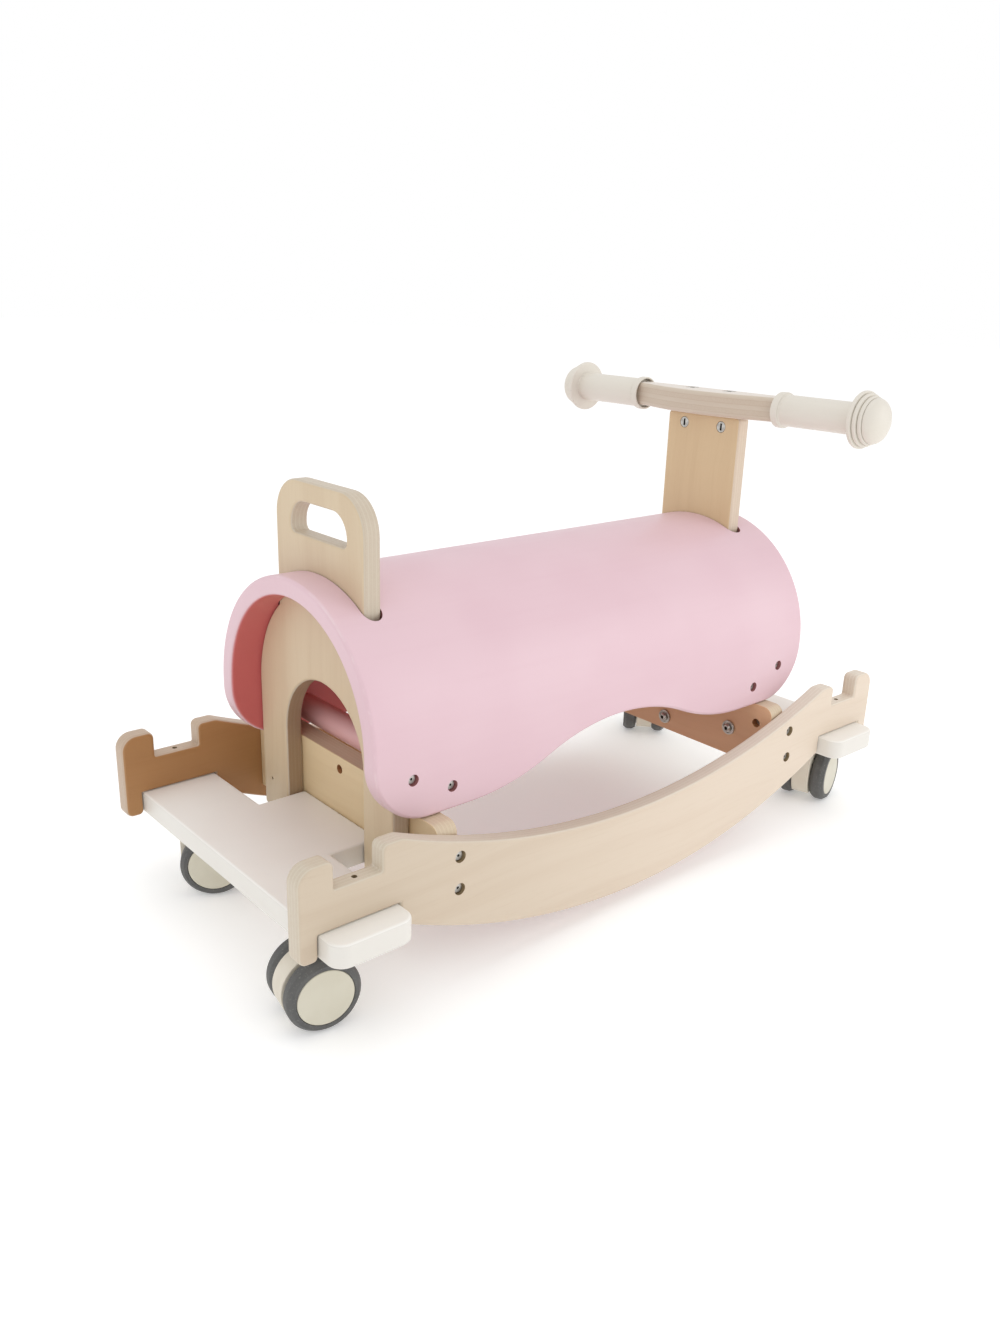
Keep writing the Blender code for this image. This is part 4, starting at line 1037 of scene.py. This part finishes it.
# The fasteners: zinc plated bolts with hexagon sockets, wide washers on the cross boards, slotted barrel
# nuts across the ply, wood screws through the shell's walls into the rods and the panels, and plate screws.
# Painted shade: the sockets and slots are laid near black.
socket_shade = shaded_hollow("socket_painted_shade", (0.060, 0.056, 0.050), (0.035, 0.032, 0.028))
head_ease = 0.0004
slot_length = 3.2


def fastener(label, corners, socket, depth, matrix, slotted=False):
    """Turned bolt or nut from (radius, height, ease) corners, its hexagon socket or slot cut down from the
    top at Z = 0. One whose label is a node takes that node's place."""
    node = label if label in frame["nodes"] else None
    name = label + "_steel" if node else label
    thing = made(name, turned(rounded(corners, 22.5, closed=False), 48), matrix)
    bit = turned([(0, -depth), (socket, -depth), (socket, 0.01), (0, 0.01)], 6)
    reach = 1.01 * socket
    if slotted:
        bit = prism([(a * socket, b * slot_length * socket) for a, b in quarters], -depth, 0.01)
        reach = (slot_length + 0.1) * socket
    cut(thing, bit)
    finished(thing, steel, node)
    low, high = -1.02 * depth, -0.3 * hair
    shade_faces(thing, socket_shade, lambda spot, normal: spot.xy.length < reach and low < spot.z < high)


def screw(radius, height, shank, length):
    """Corners of a cap head and its shank below Z = 0."""
    head = [(0, 0, 0), (radius, 0, head_ease), (radius, -height, 0)]
    return head + [(shank, -height, 0), (shank, -length, 0), (0, -length, 0)]


rail_bolt = screw(radius=0.0039, height=0.0006, shank=0.0030, length=0.019)
rail_bolt_y = rail_inside_y + rail_thickness - rail_bolt_depth + 0.0012
notch_bolt = screw(radius=0.0019, height=0.003, shank=0.0017, length=0.0055)
notch_bolt_y, notch_bolt_z = rail_inside_y + rail_thickness / 2, notch_floor - 0.006
cross_nut = screw(radius=0.0040, height=0.005, shank=0.0036, length=0.0075)
cross_nut_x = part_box("cross_board_front")[0].x + 0.006
shell_screw = screw(radius=0.0037, height=0.0006, shank=0.0022, length=0.0020)
shell_screw_y = shell_radius - shell_screw_depth + 0.0009
for hand, side in hands.items():
    for end, outward in ends.items():
        for level, z in rail_bolt_heights.items():
            spot = facing((0, side, 0), (outward * rail_bolt_x, side * rail_bolt_y, z))
            fastener(f"rail_bolt_{end}_{hand}_{level}", rail_bolt, 0.0012, 0.0005, spot)
        spot = facing((0, 0, 1), (outward * notch_bolt_x, side * notch_bolt_y, notch_bolt_z))
        fastener(f"notch_bolt_{end}_{hand}", notch_bolt, 0.0009, 0.0018, spot)
        spot = facing((-outward, 0, 0), (outward * cross_nut_x, side * rail_nut_y, rail_nut_z))
        fastener(f"cross_nut_{end}_{hand}", cross_nut, 0.0014, 0.0012, spot)
    for end, outward in ends.items():
        for number, (x, z) in enumerate(shell_screws):
            spot = facing((0, side, 0), (outward * x, side * shell_screw_y, z))
            fastener(f"shell_screw_{end}_{hand}_{number}", shell_screw, 0.0011, 0.0005, spot)

washer_radius = 0.007
washer_under = -0.0045
board_bolt_shank = 0.003
leg_bolt_short = 0.003
washer = [(0, 0, 0), (0.0030, 0, 0.0004), (0.0042, -0.0012, 0.0006), (0.0042, -0.0036, 0)]
washer += [(0.0053, -0.0036, 0), (0.0053, -0.0026, 0.0003), (washer_radius, -0.0030, 0.0004)]
washer += [(washer_radius, washer_under, 0), (board_bolt_shank, washer_under, 0)]
for end, outward in ends.items():
    for node in (f"leg_bolt_{end}_left", f"leg_bolt_{end}_right", f"tongue_bolt_{end}"):
        low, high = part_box(node)
        middle = middle_of(node)
        length = high.x - low.x - (leg_bolt_short if node.startswith("leg") else 0.0)
        head_x = low.x if outward > 0 else high.x
        corners = washer + [(board_bolt_shank, -length, 0.0004), (0, -length, 0)]
        fastener(node, corners, 0.0020, 0.0018, facing((-outward, 0, 0), (head_x, middle.y, middle.z)))

plate_screw = screw(radius=0.0032, height=0.0014, shank=0.0018, length=0.012)
plate_screw_spread = 0.0155
plate_screw_drop = 0.0036
for corner in headings:
    middle = middle_of(f"castor_{corner}_plate")
    head_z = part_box(f"castor_{corner}_plate")[1].z - plate_screw_drop
    for number, (a, b) in enumerate(quarters):
        place = (middle.x + a * plate_screw_spread, middle.y + b * plate_screw_spread, head_z)
        fastener(f"plate_screw_{corner}_{number}", plate_screw, 0.0011, 0.0008, facing((0, 0, -1), place))

for hand in ("left", "right"):
    low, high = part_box(f"bar_bolt_{hand}")
    middle = middle_of(f"bar_bolt_{hand}")
    bolt = screw(radius=0.0062, height=0.0028, shank=0.003, length=high.z - low.z)
    fastener(f"bar_bolt_{hand}", bolt, 0.0025, 0.0016, facing((0, 0, 1), (middle.x, middle.y, high.z)))
    low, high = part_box(f"bar_nut_{hand}")
    middle = middle_of(f"bar_nut_{hand}")
    nut = [(0, 0, 0), (0.005, 0, head_ease), (0.005, low.x - high.x, head_ease), (0, low.x - high.x, 0)]
    spot = facing((-1, 0, 0), (low.x, middle.y, middle.z))
    fastener(f"bar_nut_{hand}", nut, 0.0010, 0.0020, spot, slotted=True)
